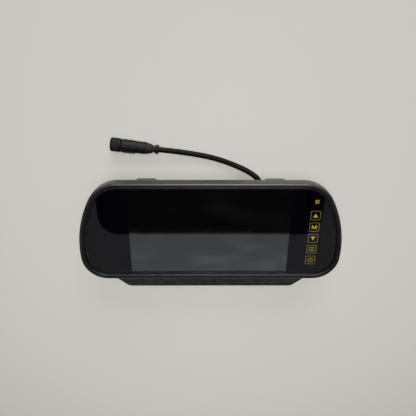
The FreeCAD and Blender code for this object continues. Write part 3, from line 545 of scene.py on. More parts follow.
@dataclass(frozen=True)
class LegendFinish:
    """Yellow key print: dull frames round brighter symbols, the two lowest worn, all of it with a faint
    painted glow.
    """

    name: str = "legend_ink"
    frame_ink: Colour = (0.27, 0.25, 0.075)
    symbol_ink: Colour = (0.85, 0.76, 0.05)
    symbol_reach: float = 0.36
    key_gaps: int = 4
    worn_strength: float = 0.3
    # Painted glow: the print gives off a little light of its own colour, though no lamp is behind it.
    painted_glow: float = 0.06

    def make(self) -> bpy.types.Material:
        """Places the symbols' mask from the box of the printed keys.

        Returns:
            The print's material.
        """
        paint = Paint(self.name)
        math_of = Effects.math_node
        low, high = (Vector(corner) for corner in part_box("key_legends"))
        side = high.x - low.x
        pitch = (high.y - low.y - side) / self.key_gaps
        split = paint.tree.nodes.new("ShaderNodeSeparateXYZ")
        where = paint.tree.nodes.new("ShaderNodeTexCoord")
        paint.tree.links.new(where.outputs["Object"], split.inputs[0])
        across = math_of(paint.tree, "SUBTRACT", split.outputs["X"], (low.x + high.x) / 2)
        across = math_of(paint.tree, "ABSOLUTE", across, 0.0)
        down = math_of(paint.tree, "SUBTRACT", split.outputs["Y"], high.y - side / 2)
        row = math_of(paint.tree, "DIVIDE", down, pitch)
        nearest = math_of(paint.tree, "ROUND", row, 0.0)
        along = math_of(paint.tree, "ABSOLUTE", math_of(paint.tree, "SUBTRACT", row, nearest), 0.0)
        along = math_of(paint.tree, "MULTIPLY", along, pitch)
        farthest = math_of(paint.tree, "MAXIMUM", across, along)
        inside = math_of(paint.tree, "LESS_THAN", farthest, side * self.symbol_reach)
        fresh = paint.tree.nodes.new("ShaderNodeMapRange")
        for label, value in (("From Min", -3.0), ("From Max", -2.0), ("To Min", self.worn_strength)):
            fresh.inputs[label].default_value = value
        paint.tree.links.new(nearest, fresh.inputs["Value"])
        bright = math_of(paint.tree, "MULTIPLY", inside, fresh.outputs[0])
        ink = paint.blend(bright, self.frame_ink, self.symbol_ink)
        grain = paint.group(EFFECTS.grain, Scale=INK_GRAIN, Tone_Scale=INK_TONE)
        ink = paint.blend(paint.span(grain.outputs["Tone"], 0.0, 0.2), ink, self.frame_ink)
        paint.feed("Base Color", ink)
        # Painted glow in the ink's own colour.
        paint.feed("Emission Color", ink)
        paint.shader.inputs["Emission Strength"].default_value = self.painted_glow
        paint.shader.inputs["Specular IOR Level"].default_value = 0.0
        paint.bump(grain.outputs["Height"], 0.1, 0.01)
        return paint.material


@dataclass(frozen=True)
class LensFinish:
    """The status window: yellow at its edge, with a darker receiver behind its middle."""

    name: str = "status_lens"
    rim: Colour = (0.62, 0.55, 0.075)
    middle: Colour = (0.20, 0.07, 0.02)
    dark_radius: float = 0.9

    def make(self) -> bpy.types.Material:
        """Builds the material.

        Returns:
            The finished material.
        """
        paint = Paint(self.name)
        low, high = (Vector(corner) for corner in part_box("status_window"))
        place = paint.tree.nodes.new("ShaderNodeTexCoord").outputs["Object"]
        reach = paint.tree.nodes.new("ShaderNodeVectorMath")
        reach.operation = "DISTANCE"
        paint.tree.links.new(place, reach.inputs[0])
        reach.inputs[1].default_value = (low + high) / 2
        edge = paint.tree.nodes.new("ShaderNodeMapRange")
        edge.inputs["From Min"].default_value = 0.7 * self.dark_radius * MM
        edge.inputs["From Max"].default_value = 1.3 * self.dark_radius * MM
        paint.tree.links.new(reach.outputs["Value"], edge.inputs["Value"])
        paint.feed("Base Color", paint.blend(edge.outputs[0], self.middle, self.rim))
        grain = paint.group(EFFECTS.grain, Scale=INK_GRAIN, Tone_Scale=INK_TONE)
        paint.feed("Roughness", paint.span(grain.outputs["Tone"], 0.3, 0.5))
        paint.shader.inputs["Specular IOR Level"].default_value = 0.0
        return paint.material


@dataclass(frozen=True)
class PaneFinish:
    """Clear front glass: what lies behind shows through, and the polish mirrors the room."""

    name: str = "front_pane"
    tint: Colour = (0.78, 0.78, 0.80)
    mirror: float = 1.47
    polish: float = 0.02

    def make(self) -> bpy.types.Material:
        """Builds the material.

        Returns:
            The finished material.
        """
        paint = Paint(self.name)
        links = paint.tree.links
        paint.shader.inputs["Base Color"].default_value = (0.92, 0.93, 0.96, 1.0)
        paint.shader.inputs["Metallic"].default_value = 1.0
        film = paint.group(EFFECTS.film, Size=1.0)
        paint.feed("Roughness", paint.span(film.outputs["Smear"], self.polish, self.polish + 0.05))
        through = paint.tree.nodes.new("ShaderNodeBsdfTransparent")
        through.inputs["Color"].default_value = (*self.tint, 1.0)
        shine = paint.tree.nodes.new("ShaderNodeFresnel")
        shine.inputs["IOR"].default_value = self.mirror
        mix = paint.tree.nodes.new("ShaderNodeMixShader")
        links.new(shine.outputs["Fac"], mix.inputs["Fac"])
        links.new(through.outputs["BSDF"], mix.inputs[1])
        links.new(paint.shader.outputs["BSDF"], mix.inputs[2])
        links.new(mix.outputs["Shader"], paint.tree.nodes["Material Output"].inputs["Surface"])
        return paint.material


@dataclass(frozen=True)
class ScreenFinish:
    """The display's anti-glare film: grey sheen, faint wiped marks, fine sparkle."""

    name: str = "display_film"
    sheen: Colour = (0.160, 0.167, 0.164)
    wiped: Colour = (0.350, 0.362, 0.352)

    def make(self) -> bpy.types.Material:
        """Builds the material.

        Returns:
            The finished material.
        """
        paint = Paint(self.name)
        paint.shader.inputs["Metallic"].default_value = 0.975
        film = paint.group(EFFECTS.film, Size=1.3)
        grain = paint.group(EFFECTS.grain, Scale=3800.0, Tone_Scale=16.0)
        tone = paint.blend(film.outputs["Smear"], self.sheen, self.wiped)
        tone = paint.blend(paint.span(grain.outputs["Tone"], 0.0, 0.35), tone, self.wiped)
        paint.feed("Base Color", tone)
        paint.feed("Roughness", paint.span(film.outputs["Smear"], 0.06, 0.10))
        paint.bump(grain.outputs["Height"], 0.05, 0.004)
        return paint.material


@dataclass(frozen=True)
class TableFinish:
    """Pale laminate with a painted pool of light: its colour is painted bright in the middle and much darker
    towards its edges, standing in for where the room light falls.
    """

    name: str = "table_laminate_painted_light"
    # edge is painted shade away from the middle; middle is painted light where the room light falls.
    edge: Colour = (0.30, 0.293, 0.25)
    middle: Colour = (0.88, 0.86, 0.68)
    painted_light_centre: tuple = (0.0, -0.10, 0.0)
    painted_light_reach: float = 0.6
    grain_scale: float = 300.0
    roughness: float = 0.85

    def make(self) -> bpy.types.Material:
        """Makes the laminate, with its painted pool of light.

        Returns:
            The table's material.
        """
        paint = Paint(self.name)
        place = paint.tree.nodes.new("ShaderNodeMapping")
        place.inputs["Location"].default_value = [-along / self.painted_light_reach for along in self.painted_light_centre]
        place.inputs["Scale"].default_value = [1.0 / self.painted_light_reach] * 3
        where = paint.tree.nodes.new("ShaderNodeTexCoord")
        paint.tree.links.new(where.outputs["Object"], place.inputs["Vector"])
        painted_light_pool = paint.tree.nodes.new("ShaderNodeTexGradient")
        painted_light_pool.gradient_type = "SPHERICAL"
        paint.tree.links.new(place.outputs["Vector"], painted_light_pool.inputs["Vector"])
        grain = paint.group(EFFECTS.grain, Scale=self.grain_scale, Tone_Scale=5.0)
        # Painted pool of light: the colour runs from the painted-shade edge tone to the painted-light middle
        # tone.
        tone = paint.blend(painted_light_pool.outputs["Fac"], self.edge, self.middle)
        darker = tuple(0.96 * part for part in self.middle)
        paint.feed("Base Color", paint.blend(paint.span(grain.outputs["Tone"], 0.0, 0.12), tone, darker))
        paint.shader.inputs["Roughness"].default_value = self.roughness
        return paint.material


@dataclass(frozen=True)
class CardFinish:
    """Dull near-black of the card that the glass mirrors."""

    name: str = "card_black"
    tone: Colour = (0.004, 0.003, 0.006)

    def make(self) -> bpy.types.Material:
        """Makes the dull black.

        Returns:
            The card's material.
        """
        paint = Paint(self.name)
        paint.shader.inputs["Base Color"].default_value = (*self.tone, 1.0)
        paint.shader.inputs["Roughness"].default_value = 1.0
        return paint.material


@dataclass(frozen=True)
class BoardFinish:
    """Circuit board: solder mask with darker copper runs under it."""

    name: str = "circuit_board"
    mask: Colour = (0.012, 0.13, 0.05)
    copper: Colour = (0.02, 0.22, 0.09)

    def make(self) -> bpy.types.Material:
        """Builds the material.

        Returns:
            The finished material.
        """
        paint = Paint(self.name)
        place = paint.tree.nodes.new("ShaderNodeTexCoord").outputs["Object"]
        brick = paint.tree.nodes.new("ShaderNodeTexBrick")
        brick.inputs["Scale"].default_value = 190.0
        brick.inputs["Mortar Size"].default_value = 0.05
        paint.tree.links.new(place, brick.inputs["Vector"])
        paint.feed("Base Color", paint.blend(brick.outputs["Fac"], self.mask, self.copper))
        grain = paint.group(EFFECTS.grain, Scale=2600.0, Tone_Scale=120.0)
        paint.feed("Roughness", paint.span(grain.outputs["Tone"], 0.25, 0.4))
        paint.bump(brick.outputs["Fac"], 0.2, 0.03)
        return paint.material


BLACK = (0.012, 0.0116, 0.0122)


class Finish(Enum):
    """Every finish, with its recipe."""

    HOUSING = MouldedFinish(
        "housing_plastic", BLACK, (0.03, 0.029, 0.029), 0.46, 1700.0, 0.03, 0.3, gloss=0.28
    )
    RIM = MouldedFinish(
        "rim_plastic", (0.014, 0.0132, 0.014), (0.035, 0.034, 0.034), 0.36, 2100.0, 0.02, 0.2, gloss=0.4
    )
    CLIP = MouldedFinish(
        "clip_nylon", (0.02, 0.0195, 0.0195), (0.05, 0.049, 0.048), 0.5, 1300.0, 0.04, 0.4
    )
    RUBBER = MouldedFinish(
        "soft_rubber", (0.008, 0.008, 0.0085), (0.02, 0.02, 0.02), 0.6, 900.0, 0.05, 0.4, gloss=0.15
    )
    JACKET = MouldedFinish(
        "lead_jacket", (0.0045, 0.0044, 0.0048), (0.012, 0.012, 0.0125), 0.3, 1900.0, 0.015, 0.15, gloss=0.05
    )
    PLUG = MouldedFinish(
        "plug_nylon", (0.005, 0.005, 0.0056), (0.016, 0.016, 0.017), 0.45, 1600.0, 0.025, 0.25, gloss=0.1
    )
    FOAM = MouldedFinish("black_foam", (0.02, 0.02, 0.02), (0.03, 0.03, 0.03), 0.9, 700.0, 0.2, 0.8)
    EPOXY = MouldedFinish(
        "chip_epoxy", (0.025, 0.025, 0.026), (0.05, 0.05, 0.05), 0.55, 2400.0, 0.02, 0.3
    )
    NYLON = MouldedFinish(
        "white_nylon", (0.7, 0.69, 0.62), (0.8, 0.79, 0.74), 0.45, 1500.0, 0.02, 0.2
    )
    ACRYLIC = MouldedFinish(
        "guide_acrylic", (0.72, 0.75, 0.78), (0.8, 0.82, 0.85), 0.2, 1200.0, 0.01, 0.1
    )
    FLEX = MouldedFinish(
        "amber_film", (0.42, 0.2, 0.035), (0.6, 0.34, 0.08), 0.3, 1500.0, 0.01, 0.1
    )
    LABEL = MouldedFinish(
        "blank_label", (0.3, 0.3, 0.295), (0.45, 0.45, 0.44), 0.5, 1400.0, 0.01, 0.12
    )
    STEEL = MetalFinish("plated_sheet", (0.62, 0.62, 0.61), 0.28)
    SCREW = MetalFinish("black_zinc", (0.14, 0.14, 0.145), 0.32)
    SPRING = MetalFinish("spring_wire", (0.55, 0.55, 0.56), 0.2)
    CAN = MetalFinish("capacitor_can", (0.7, 0.7, 0.72), 0.25)
    CONTACT = MetalFinish("plated_contact", (0.8, 0.62, 0.3), 0.2)
    # Black ink of the glass's printed mask; the same dull black also paints the shadow line on the bezel's
    # outer seam.
    MASK = PrintFinish("mask_ink_and_seam_shadow", (0.0062, 0.0056, 0.0085), (0.0048, 0.0044, 0.007))
    LEGEND = LegendFinish()
    LENS = LensFinish()
    PANE = PaneFinish()
    SCREEN = ScreenFinish()
    BOARD = BoardFinish()
    CELL = MouldedFinish(
        "cell_glass", (0.02, 0.021, 0.022), (0.05, 0.05, 0.05), 0.15, 1800.0, 0.005, 0.05
    )
    RIDGE = MouldedFinish(
        "ridge_gloss", (0.0035, 0.0033, 0.0036), (0.012, 0.012, 0.012), 0.3, 2100.0, 0.01, 0.1, gloss=0.35
    )


NODE_FINISHES = {
    Finish.HOUSING: ["rear_cover"],
    Finish.CLIP: ["left_rail", "right_rail", "left_slider", "right_slider"],
    Finish.PANE: ["mirror_glass"],
    Finish.MASK: ["mask_film"],
    Finish.LEGEND: ["key_legends"],
    Finish.LENS: ["status_window"],
    Finish.SCREEN: ["window_film"],
    Finish.CELL: ["lcd_cell"],
    Finish.FOAM: ["glass_tape", "display_gasket", "touch_pads"],
    Finish.STEEL: ["lcd_frame", "lcd_carrier", "shield_can", "board_spacers"],
    Finish.ACRYLIC: ["light_guide"],
    Finish.FLEX: ["display_flex", "key_ribbon"],
    Finish.BOARD: ["main_board", "touch_board", "led_strip"],
    Finish.EPOXY: ["main_board_chips", "board_inductors"],
    Finish.CAN: ["board_capacitors"],
    Finish.NYLON: ["board_connectors", "key_leds"],
    Finish.LABEL: ["rating_label"],
    Finish.SCREW: ["housing_screws", "rail_screws", "board_screws", "carrier_screws"],
    Finish.RUBBER: [
        "left_upper_pad", "right_upper_pad", "left_lower_pad", "right_lower_pad", "plug_o_ring",
    ],
    Finish.JACKET: ["inner_lead"],
    Finish.PLUG: ["contact_insert"],
    Finish.CONTACT: ["contact_pins"],
}


class Wardrobe:
    """Makes each finish once and puts it on pieces."""

    def __init__(self) -> None:
        """Starts with no material made."""
        self.made: dict[Finish, bpy.types.Material] = {}

    def get(self, finish: Finish) -> bpy.types.Material:
        """Gives the material of a finish, made at its first use.

        Args:
            finish: The finish.

        Returns:
            Its material.
        """
        if finish not in self.made:
            self.made[finish] = finish.value.make()
        return self.made[finish]

    def dress(self, piece: bpy.types.Object, finish: Finish) -> None:
        """Gives a piece one finish."""
        piece.data.materials.clear()
        piece.data.materials.append(self.get(finish))

    def dress_nodes(self) -> None:
        """Gives every carried-over node its finish."""
        for finish, names in NODE_FINISHES.items():
            for name in names:
                self.dress(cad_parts[name], finish)
        count = sum(len(names) for names in NODE_FINISHES.values())
        LOG.info("finishes on %d carried-over nodes", count)


# ------------------------------------------------------------------ camera and room
@dataclass(frozen=True)
class Lamp:
    """A square lamp that faces the object."""

    name: str
    place: tuple
    size: float
    power: float
    aim: tuple = (0.0, 0.0, 0.02)

    def build(self) -> None:
        """Makes the lamp."""
        data = bpy.data.lights.new(self.name, "AREA")
        data.size = self.size
        data.energy = self.power
        lamp = bpy.data.objects.new(self.name, data)
        turn = (Vector(self.aim) - Vector(self.place)).to_track_quat("-Z", "Y").to_matrix().to_4x4()
        lamp.matrix_world = Matrix.Translation(Vector(self.place)) @ turn
        bpy.context.scene.collection.objects.link(lamp)


@dataclass
class Studio:
    """Pale table, soft lights, the dark card that the glass mirrors, and the camera."""

    camera_place: tuple = (-6.0, 187.5, 380.3)
    tilt: float = 24.3
    pan: float = 0.48
    roll: float = 0.04
    lens: float = 35.05
    table_half: float = 2.4
    room_tone: Colour = (0.80, 0.795, 0.775)
    low_room: float = 0.22
    high_room: float = 0.56
    lamps: tuple = (
        Lamp("window", (0.12, 1.2, 0.5), 0.7, 23.0),
        Lamp("ceiling", (0.0, 0.40, 1.1), 0.7, 14.0),
    )
    card_left: float = -0.2060
    card_right: float = 0.2150
    card_low: float = -0.176
    card_high: float = 0.30
    card_level: float = 0.378
    card_corner: float = 0.040
    card_steps: int = 12

    def build(self) -> None:
        """Makes the whole room."""
        self._camera()
        self._table()
        self._lights()
        self._card()
        LOG.info("room, lights and camera")

    def _camera(self) -> None:
        """Places the camera above the upper edge, looking down at the screen."""
        tilt, pan, roll = (math.radians(angle) for angle in (self.tilt, self.pan, self.roll))
        right = Vector((1.0, 0.0, 0.0))
        ahead = Vector((0.0, -math.sin(tilt), -math.cos(tilt)))
        upward = Vector((0.0, math.cos(tilt), -math.sin(tilt)))
        rolled = right * math.cos(roll) + upward * math.sin(roll)
        upward = upward * math.cos(roll) - right * math.sin(roll)
        panned = ahead * math.cos(pan) + rolled * math.sin(pan)
        right = rolled * math.cos(pan) - ahead * math.sin(pan)
        ahead = panned
        data = bpy.data.cameras.new("camera")
        data.lens = self.lens
        data.sensor_width = 36.0
        data.clip_start = 0.01
        camera = bpy.data.objects.new("camera", data)
        turn = Matrix((right, upward, -ahead)).transposed().to_4x4()
        camera.matrix_world = Matrix.Translation(Vector(self.camera_place) * MM) @ turn
        bpy.context.scene.collection.objects.link(camera)
        bpy.context.scene.camera = camera

    def _table(self) -> None:
        """A pale table top."""
        half = self.table_half
        corners = [Vector((x * half, y * half, 0.0)) for x, y in ((-1, -1), (1, -1), (1, 1), (-1, 1))]
        table = new_mesh("table_top", corners, [(0, 1, 2, 3)], smooth=False)
        table.data.materials.append(TableFinish().make())

    def _lights(self) -> None:
        """Even room light and two large soft lamps."""
        world = bpy.data.worlds.new("room")
        world.use_nodes = True
        tree = world.node_tree
        background = tree.nodes["Background"]
        background.inputs["Color"].default_value = (*self.room_tone, 1.0)
        place = tree.nodes.new("ShaderNodeTexCoord")
        split = tree.nodes.new("ShaderNodeSeparateXYZ")
        rise = tree.nodes.new("ShaderNodeMapRange")
        rise.interpolation_type = "SMOOTHSTEP"
        rise.inputs["From Min"].default_value = 0.1
        rise.inputs["From Max"].default_value = 0.85
        rise.inputs["To Min"].default_value = self.low_room
        rise.inputs["To Max"].default_value = self.high_room
        tree.links.new(place.outputs["Generated"], split.inputs[0])
        tree.links.new(split.outputs["Z"], rise.inputs["Value"])
        tree.links.new(rise.outputs[0], background.inputs["Strength"])
        bpy.context.scene.world = world
        for lamp in self.lamps:
            lamp.build()

    def _card(self) -> None:
        """A dark round-cornered card that only mirrored rays see."""
        points = [Vector((x, self.card_high, self.card_level)) for x in (self.card_left, self.card_right)]
        corners = ((self.card_right - self.card_corner, 0.0), (self.card_left + self.card_corner, -90.0))
        centre_y = self.card_low + self.card_corner
        for centre_x, start in corners:
            for step in range(self.card_steps + 1):
                turn = math.radians(start - 90.0 * step / self.card_steps)
                x = centre_x + self.card_corner * math.cos(turn)
                y = centre_y + self.card_corner * math.sin(turn)
                points.append(Vector((x, y, self.card_level)))
        card = new_mesh("mirror_card", points, [tuple(range(len(points)))], smooth=False)
        card.data.materials.append(CardFinish().make())
        for ray in ("camera", "diffuse", "transmission", "shadow", "volume_scatter"):
            setattr(card, "visible_" + ray, False)


# ------------------------------------------------------------------ housing
@dataclass
class Bezel:
    """The front frame's visible rim, swept round the housing's outline."""

    wardrobe: Wardrobe
    side_radius: float = 115.0
    top_radius: float = 30.0
    bottom_radius: float = 25.0
    widest_below_top: float = 71.0
    arc_steps: int = 26
    # Rows of the outer wall whose faces get dull black ink: a painted shadow line where shade falls in the
    # seam's gap.
    painted_shadow_seam: tuple = (1, 2)
    crest_above_base: float = 4.8
    wall: tuple = (
        (0.4, 1.5), (-0.02, 1.6), (-0.02, 2.35), (-0.06, 2.42), (-0.06, 3.0),
        (0.08, 3.68), (0.46, 4.3), (0.98, 4.68), (1.6, 4.82), (1.88, 4.81),
    )
    groove: tuple = (
        (2.02, 4.7), (2.06, 4.25), (2.2, 4.15), (3.25, 4.15), (3.39, 4.25),
        (3.43, 4.7), (3.52, 4.81), (3.84, 4.81), (3.94, 4.72),
    )
    glass_side: tuple = (
        (4.34, 3.32), (4.38, 2.62), (4.5, 2.5), (5.6, 2.5), (5.76, 2.56),
        (5.8, 2.4), (5.8, 1.6), (5.6, 1.5),
    )

    def outline(self, inset: float, level: float) -> list[Vector]:
        """The housing's outline drawn inwards.

        Args:
            inset: Distance inwards in millimetres.
            level: Height in metres.

        Returns:
            Points round the outline, starting at the bottom right.
        """
        low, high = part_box("front_bezel")
        half = (high[0] - low[0]) / 2 / MM
        top, bottom = high[1] / MM, low[1] / MM
        widest = top - self.widest_below_top
        side = (half - self.side_radius, widest)
        top_y, bottom_y = top - self.top_radius, bottom + self.bottom_radius
        top_gap = self.side_radius - self.top_radius
        bottom_gap = self.side_radius - self.bottom_radius
        top_x = side[0] + math.sqrt(top_gap ** 2 - (top_y - widest) ** 2)
        bottom_x = side[0] + math.sqrt(bottom_gap ** 2 - (bottom_y - widest) ** 2)
        up = math.atan2(top_y - widest, top_x - side[0])
        down = math.atan2(bottom_y - widest, bottom_x - side[0])
        spans = (
            ((bottom_x, bottom_y), self.bottom_radius, -math.pi / 2, down),
            (side, self.side_radius, down, up),
            ((top_x, top_y), self.top_radius, up, math.pi / 2),
        )
        right = []
        for centre, radius, start, stop in spans:
            for step in range(self.arc_steps):
                turn = start + (stop - start) * step / self.arc_steps
                reach = radius - inset
                right.append((centre[0] + reach * math.cos(turn), centre[1] + reach * math.sin(turn)))
        right.append((top_x, top - inset))
        left = [(-x, y) for x, y in reversed(right)]
        return [Vector((x * MM, y * MM, level)) for x, y in right + left]

    def build(self) -> None:
        """Sweeps the rim's skin over the front frame."""
        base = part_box("front_bezel")[1][2] - self.crest_above_base * MM
        profile = self.wall + self.groove + self.glass_side
        rings = [self.outline(inset, base + rise * MM) for inset, rise in profile]
        points, faces = bridge_rings(rings, closed_loop=True)
        rim = new_mesh("bezel_rim", points, faces)
        self.wardrobe.dress(rim, Finish.RIM)
        self._darken_ridge_and_paint_seam_shadow(rim)
        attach(rim, "root")
        LOG.info("bezel rim, %d faces", len(faces))

    def _darken_ridge_and_paint_seam_shadow(self, rim: bpy.types.Object) -> None:
        """Gives the groove and its ridge a darker, glossier finish, and paints a shadow line on the outer
        seam in dull black ink.

        Args:
            rim: The swept rim.
        """
        rim.data.materials.append(self.wardrobe.get(Finish.RIDGE))
        rim.data.materials.append(self.wardrobe.get(Finish.MASK))
        count = len(self.outline(0.0, 0.0))
        first = len(self.wall)
        last = first + len(self.groove) + len(self.glass_side) - 2
        for face in rim.data.polygons:
            rows = [corner // count for corner in face.vertices]
            if first <= min(rows) and max(rows) < last:
                face.material_index = 1
            # The seam's faces: dull black ink as a painted shadow in the gap.
            elif min(rows) >= self.painted_shadow_seam[0] and max(rows) <= self.painted_shadow_seam[1]:
                face.material_index = 2


# ------------------------------------------------------------------ lead and plug
@dataclass
class Lead:
    """The free lead, its strain relief and the plug with its coupling nut."""

    wardrobe: Wardrobe
    diameter: float = 5.5
    route: tuple = (
        (51.6, 30.4, 15.0),
        (51.6, 38.6, 14.4),
        (49.5, 46.4, 12.4),
        (44.9, 52.6, 9.2),
        (36.2, 57.8, 5.9),
        (25.4, 62.4, 3.7),
        (12.6, 67.2, 2.85),
        (-2.6, 71.7, 2.85),
        (-17.6, 74.6, 3.3),
        (-31.5, 77.1, 5.0),
        (-41.55, 78.7, 6.5),
        (-49.3, 79.6, 6.8),
    )
    outlet_y: float = 20.0
    plug_angle: float = 173.3
    nut_start: float = 35.8
    nut_length: float = 9.8
    inner_nodes: tuple = ("contact_insert", "contact_pins", "plug_o_ring")
    nut_radius: float = 6.65
    nut_ribs: int = 18
    nut_steps: int = 144
    thread_rings: int = 45
    thread_ring_step: float = 0.14
    thread_depth: float = 0.16
    thread_pitch: float = 1.0

    def build(self) -> None:
        cable = self._cable()
        relief = self._strain_relief()
        plug = self._plug()
        self.length_of(cable)
        LOG.info("lead, %s and %d plug pieces", relief.name, len(plug))

    def _cable(self) -> bpy.types.Object:
        """Makes the lead as one smooth curve along its route.

        Returns:
            The curve, riding on the root.
        """
        curve = bpy.data.curves.new("lead_cable", "CURVE")
        curve.dimensions = "3D"
        curve.bevel_depth = self.diameter / 2 * MM
        curve.bevel_resolution = 8
        curve.use_fill_caps = True
        curve.resolution_u = 24
        spline = curve.splines.new("NURBS")
        spline.points.add(len(self.route) - 1)
        for point, place in zip(spline.points, self.route):
            point.co = (*(value * MM for value in place), 1.0)
        spline.order_u = 3
        spline.use_endpoint_u = True
        cable = bpy.data.objects.new("lead_cable", curve)
        bpy.context.scene.collection.objects.link(cable)
        self.wardrobe.dress(cable, Finish.JACKET)
        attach(cable, "root")
        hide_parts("cable")
        return cable

    @staticmethod
    def length_of(cable: bpy.types.Object) -> float:
        """Measures the lead's centre line.

        Args:
            cable: The lead's curve.

        Returns:
            Its length in metres.
        """
        bare = cable.data.copy()
        bare.bevel_depth = 0.0
        probe = bpy.data.objects.new("probe", bare)
        bpy.context.scene.collection.objects.link(probe)
        line = bpy.data.meshes.new_from_object(probe)
        places = [vertex.co.copy() for vertex in line.vertices]
        bpy.data.objects.remove(probe)
        bpy.data.curves.remove(bare)
        bpy.data.meshes.remove(line)
        return sum((after - before).length for before, after in zip(places, places[1:]))

    def _strain_relief(self) -> bpy.types.Object:
        """Makes the ribbed rubber boot that tapers along the lead from the outlet.

        Returns:
            The boot.
        """
        x, y, z = self.route[0]
        length = y - self.outlet_y
        profile = [(-2.8, 2.0), (-2.8, 3.8), (-1.7, 3.85), (-1.6, 3.4), (0.02, 3.38), (0.04, 3.9)]
        ribs = 5
        pitch = (length - 1.4) / ribs
        for number in range(ribs):
            start = 0.2 + number * pitch
            full = 3.9 - 0.13 * number
            profile += [(start, full), (start + 0.25, full + 0.03), (start + pitch * 0.55, full - 0.03)]
            profile += [(start + pitch * 0.62, full - 0.42), (start + pitch * 0.9, full - 0.44)]
        profile += [(length - 0.9, 3.25), (length - 0.2, 3.05), (length, 2.85)]
        outlet = Vector((x, self.outlet_y, z)) * MM
        relief = turned("lead_strain_relief", profile, outlet, Vector((0.0, 1.0, 0.0)))
        self.wardrobe.dress(relief, Finish.RUBBER)
        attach(relief, "root")
        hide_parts("cable_grommet")
        return relief

    def _axis(self) -> Vector:
        """Direction of the plug, from the lead to the nut."""
        angle = math.radians(self.plug_angle)
        return Vector((math.cos(angle), math.sin(angle), 0.0))

    def _plug(self) -> list[bpy.types.Object]:
        """Makes the plug's ring, tail, body with key, and coupling nut.

        Returns:
            The pieces, dressed and riding.
        """
        start = Vector(self.route[-1]) * MM
        axis = self._axis()
        ring = turned("plug_end_ring", [
            (0.0, 0.0), (0.0, 3.4), (0.1, 3.9), (0.35, 4.4), (0.7, 4.55), (1.45, 4.55), (1.7, 4.35),
            (1.8, 3.9), (2.15, 3.9), (2.25, 4.35), (2.5, 4.55), (3.3, 4.55), (3.75, 4.4), (4.0, 4.0),
            (4.0, 0.0),
        ], start, axis)
        tail = turned("plug_tail_boot", [
            (4.0, 0.0), (4.0, 3.1), (5.55, 3.1), (5.6, 3.6), (5.75, 4.0), (6.6, 4.3), (8.2, 4.75),
            (9.6, 5.1), (10.4, 5.2), (11.6, 5.35), (11.9, 5.3), (11.9, 0.0),
        ], start, axis)
        body = turned("plug_shell", [
            (11.9, 0.0), (11.9, 5.4), (12.05, 5.75), (12.35, 5.88), (21.4, 5.9), (21.65, 5.9), (21.8, 6.0),
            (22.0, 6.1), (22.3, 6.16), (28.0, 6.26), (33.6, 6.38), (34.6, 6.38), (34.95, 6.25),
            (35.1, 5.95), (35.1, 4.72), (43.9, 4.7), (44.0, 4.6), (44.0, 4.02), (43.9, 4.0),
            (29.1, 4.0), (29.1, 0.0),
        ], start, axis)
        key = self._key(start, axis)
        nut = self._nut(start, axis)
        pieces = []
        for piece, finish, node, body_name in (
            (ring, Finish.PLUG, "plug_ring", "root"),
            (tail, Finish.RUBBER, "plug_tail", "root"),
            (body, Finish.PLUG, "plug_body", "root"),
            (key, Finish.PLUG, None, "root"),
            (nut, Finish.PLUG, "coupling_nut", "nut"),
        ):
            self.wardrobe.dress(piece, finish)
            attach(piece, body_name)
            if node:
                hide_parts(node)
            pieces.append(piece)
        return pieces

    def _key(self, start: Vector, axis: Vector) -> bpy.types.Object:
        """Makes the raised key along the plug's lower side.

        Args:
            start: Where the lead meets the plug.
            axis: Direction of the plug.

        Returns:
            The key.
        """
        out = Vector((axis.y, -axis.x, 0.0))
        if out.y > 0:
            out = -out
        stations = ((22.3, 5.5), (22.5, 6.6), (23.2, 6.9), (33.6, 7.05), (34.2, 6.8), (34.4, 5.5))
        section = ((-0.8, 0.9), (-0.78, 0.16), (-0.55, 0.0), (0.55, 0.0), (0.78, 0.16), (0.8, 0.9))
        sections = []
        for along, reach in stations:
            ring = []
            for across, inwards in section:
                place = start + axis * (along * MM) + out * ((reach - inwards) * MM)
                ring.append(place + Z_UP * (across * MM))
            sections.append(ring)
        points, faces = bridge_rings(sections, closed_loop=False)
        return new_mesh("plug_key_rib", points, faces)

    def _nut(self, start: Vector, axis: Vector) -> bpy.types.Object:
        """Makes the coupling nut: grip ribs outside, screw thread inside.

        Args:
            start: Where the lead meets the plug.
            axis: Direction of the plug.

        Returns:
            The nut.
        """
        outer = self.nut_radius
        across = axis.cross(Z_UP).normalized()
        upright = across.cross(axis).normalized()
        first, last = self.nut_start, self.nut_start + self.nut_length

        def ring(along: float, radius: float, grip: float = 0.0, thread: float = 0.0) -> list[Vector]:
            """Makes one ring of the nut.

            Args:
                along: Distance along the plug.
                radius: Radius of the ring.
                grip: Depth of the grip grooves.
                thread: Height of the thread.

            Returns:
                The ring's points.
            """
            places = []
            for step in range(self.nut_steps):
                turn = 2 * math.pi * step / self.nut_steps
                groove = max(0.0, math.cos(turn * self.nut_ribs)) ** 4 * grip
                wave = thread * math.cos(2 * math.pi * along / self.thread_pitch - turn)
                out = across * math.cos(turn) + upright * math.sin(turn)
                places.append(start + axis * (along * MM) + out * ((radius - groove + wave) * MM))
            return places

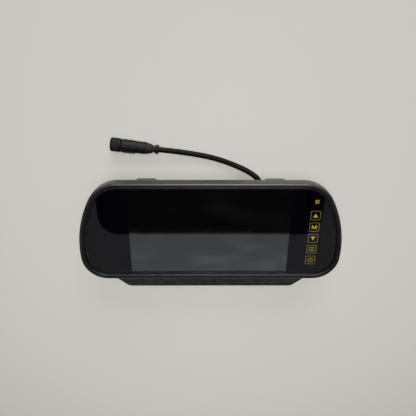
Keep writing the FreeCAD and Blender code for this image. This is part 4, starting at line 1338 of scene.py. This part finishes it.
        rings = [ring(first, 5.1), ring(first, 6.0), ring(first + 0.15, 6.35)]
        rings += [ring(first + 0.45, outer - 0.08), ring(first + 0.8, outer), ring(first + 1.5, outer)]
        rings += [ring(first + 1.75, outer, 0.32), ring(first + 2.2, outer, 0.5)]
        rings += [ring(last - 1.9, outer, 0.5), ring(last - 1.4, outer, 0.34)]
        rings += [ring(last - 1.1, outer - 0.02), ring(last - 0.75, outer - 0.1)]
        rings += [ring(last - 0.12, 6.1), ring(last, 5.9), ring(last, 5.75), ring(last - 0.5, 5.55)]
        for number in range(self.thread_rings):
            rings.append(ring(last - 0.9 - number * self.thread_ring_step, 5.5, 0.0, self.thread_depth))
        rings += [ring(last - 7.6, 5.7), ring(first + 1.4, 5.7), ring(first + 1.4, 5.1)]
        points, faces = bridge_rings(rings, closed_loop=True)
        return new_mesh("plug_coupling_nut", points, faces)


# ------------------------------------------------------------------ clips
@dataclass
class ClipSpring:
    """The coil spring inside one clip rail."""

    wardrobe: Wardrobe
    side: Side
    wire: float = 0.55
    coils: int = 15
    dead_coils: float = 1.5
    packing: float = 1.02
    steps_per_turn: int = 20

    def build(self) -> None:
        """Winds the spring from the slider's slot end to the rail's peg."""
        node = self.side.word + "_spring"
        low, high = (Vector(corner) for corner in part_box(node))
        centre = (low + high) / 2
        radius = (high[0] - low[0]) / 2 - self.wire / 2 * MM
        start, stop = low[1] + self.wire / 2 * MM, high[1] - self.wire / 2 * MM
        turns = self.coils + 2 * self.dead_coils
        steps = int(turns * self.steps_per_turn)
        close_pitch = self.wire * MM * self.packing
        open_length = stop - start - 2 * self.dead_coils * close_pitch
        path = []
        for step in range(steps + 1):
            turn = turns * step / steps
            share = min(max((turn - self.dead_coils) / self.coils, 0.0), 1.0)
            closed = min(turn, self.dead_coils) + max(turn - self.dead_coils - self.coils, 0.0)
            along = start + closed * close_pitch + share * open_length
            angle = 2 * math.pi * turn
            out = Vector((math.cos(angle), 0.0, math.sin(angle))) * radius
            path.append(Vector((centre[0], along, centre[2])) + out)
        spring = tube_along(self.side.word + "_coil_spring", path, self.wire / 2 * MM, 8)
        self.wardrobe.dress(spring, Finish.SPRING)
        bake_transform(spring)
        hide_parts(node)
        LOG.info("%s, %d coils", spring.name, self.coils)


def main() -> None:
    """Builds the room, the lead, the housing and the clips, and reports each."""
    logging.basicConfig(level=logging.INFO, format="%(name)s: %(message)s")
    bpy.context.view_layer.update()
    wardrobe = Wardrobe()
    Studio().build()
    Lead(wardrobe).build()
    wardrobe.dress_nodes()
    wardrobe.dress(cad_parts["front_bezel"], Finish.HOUSING)
    Bezel(wardrobe).build()
    for side in Side:
        ClipSpring(wardrobe, side).build()


if __name__ == "__main__":
    main()
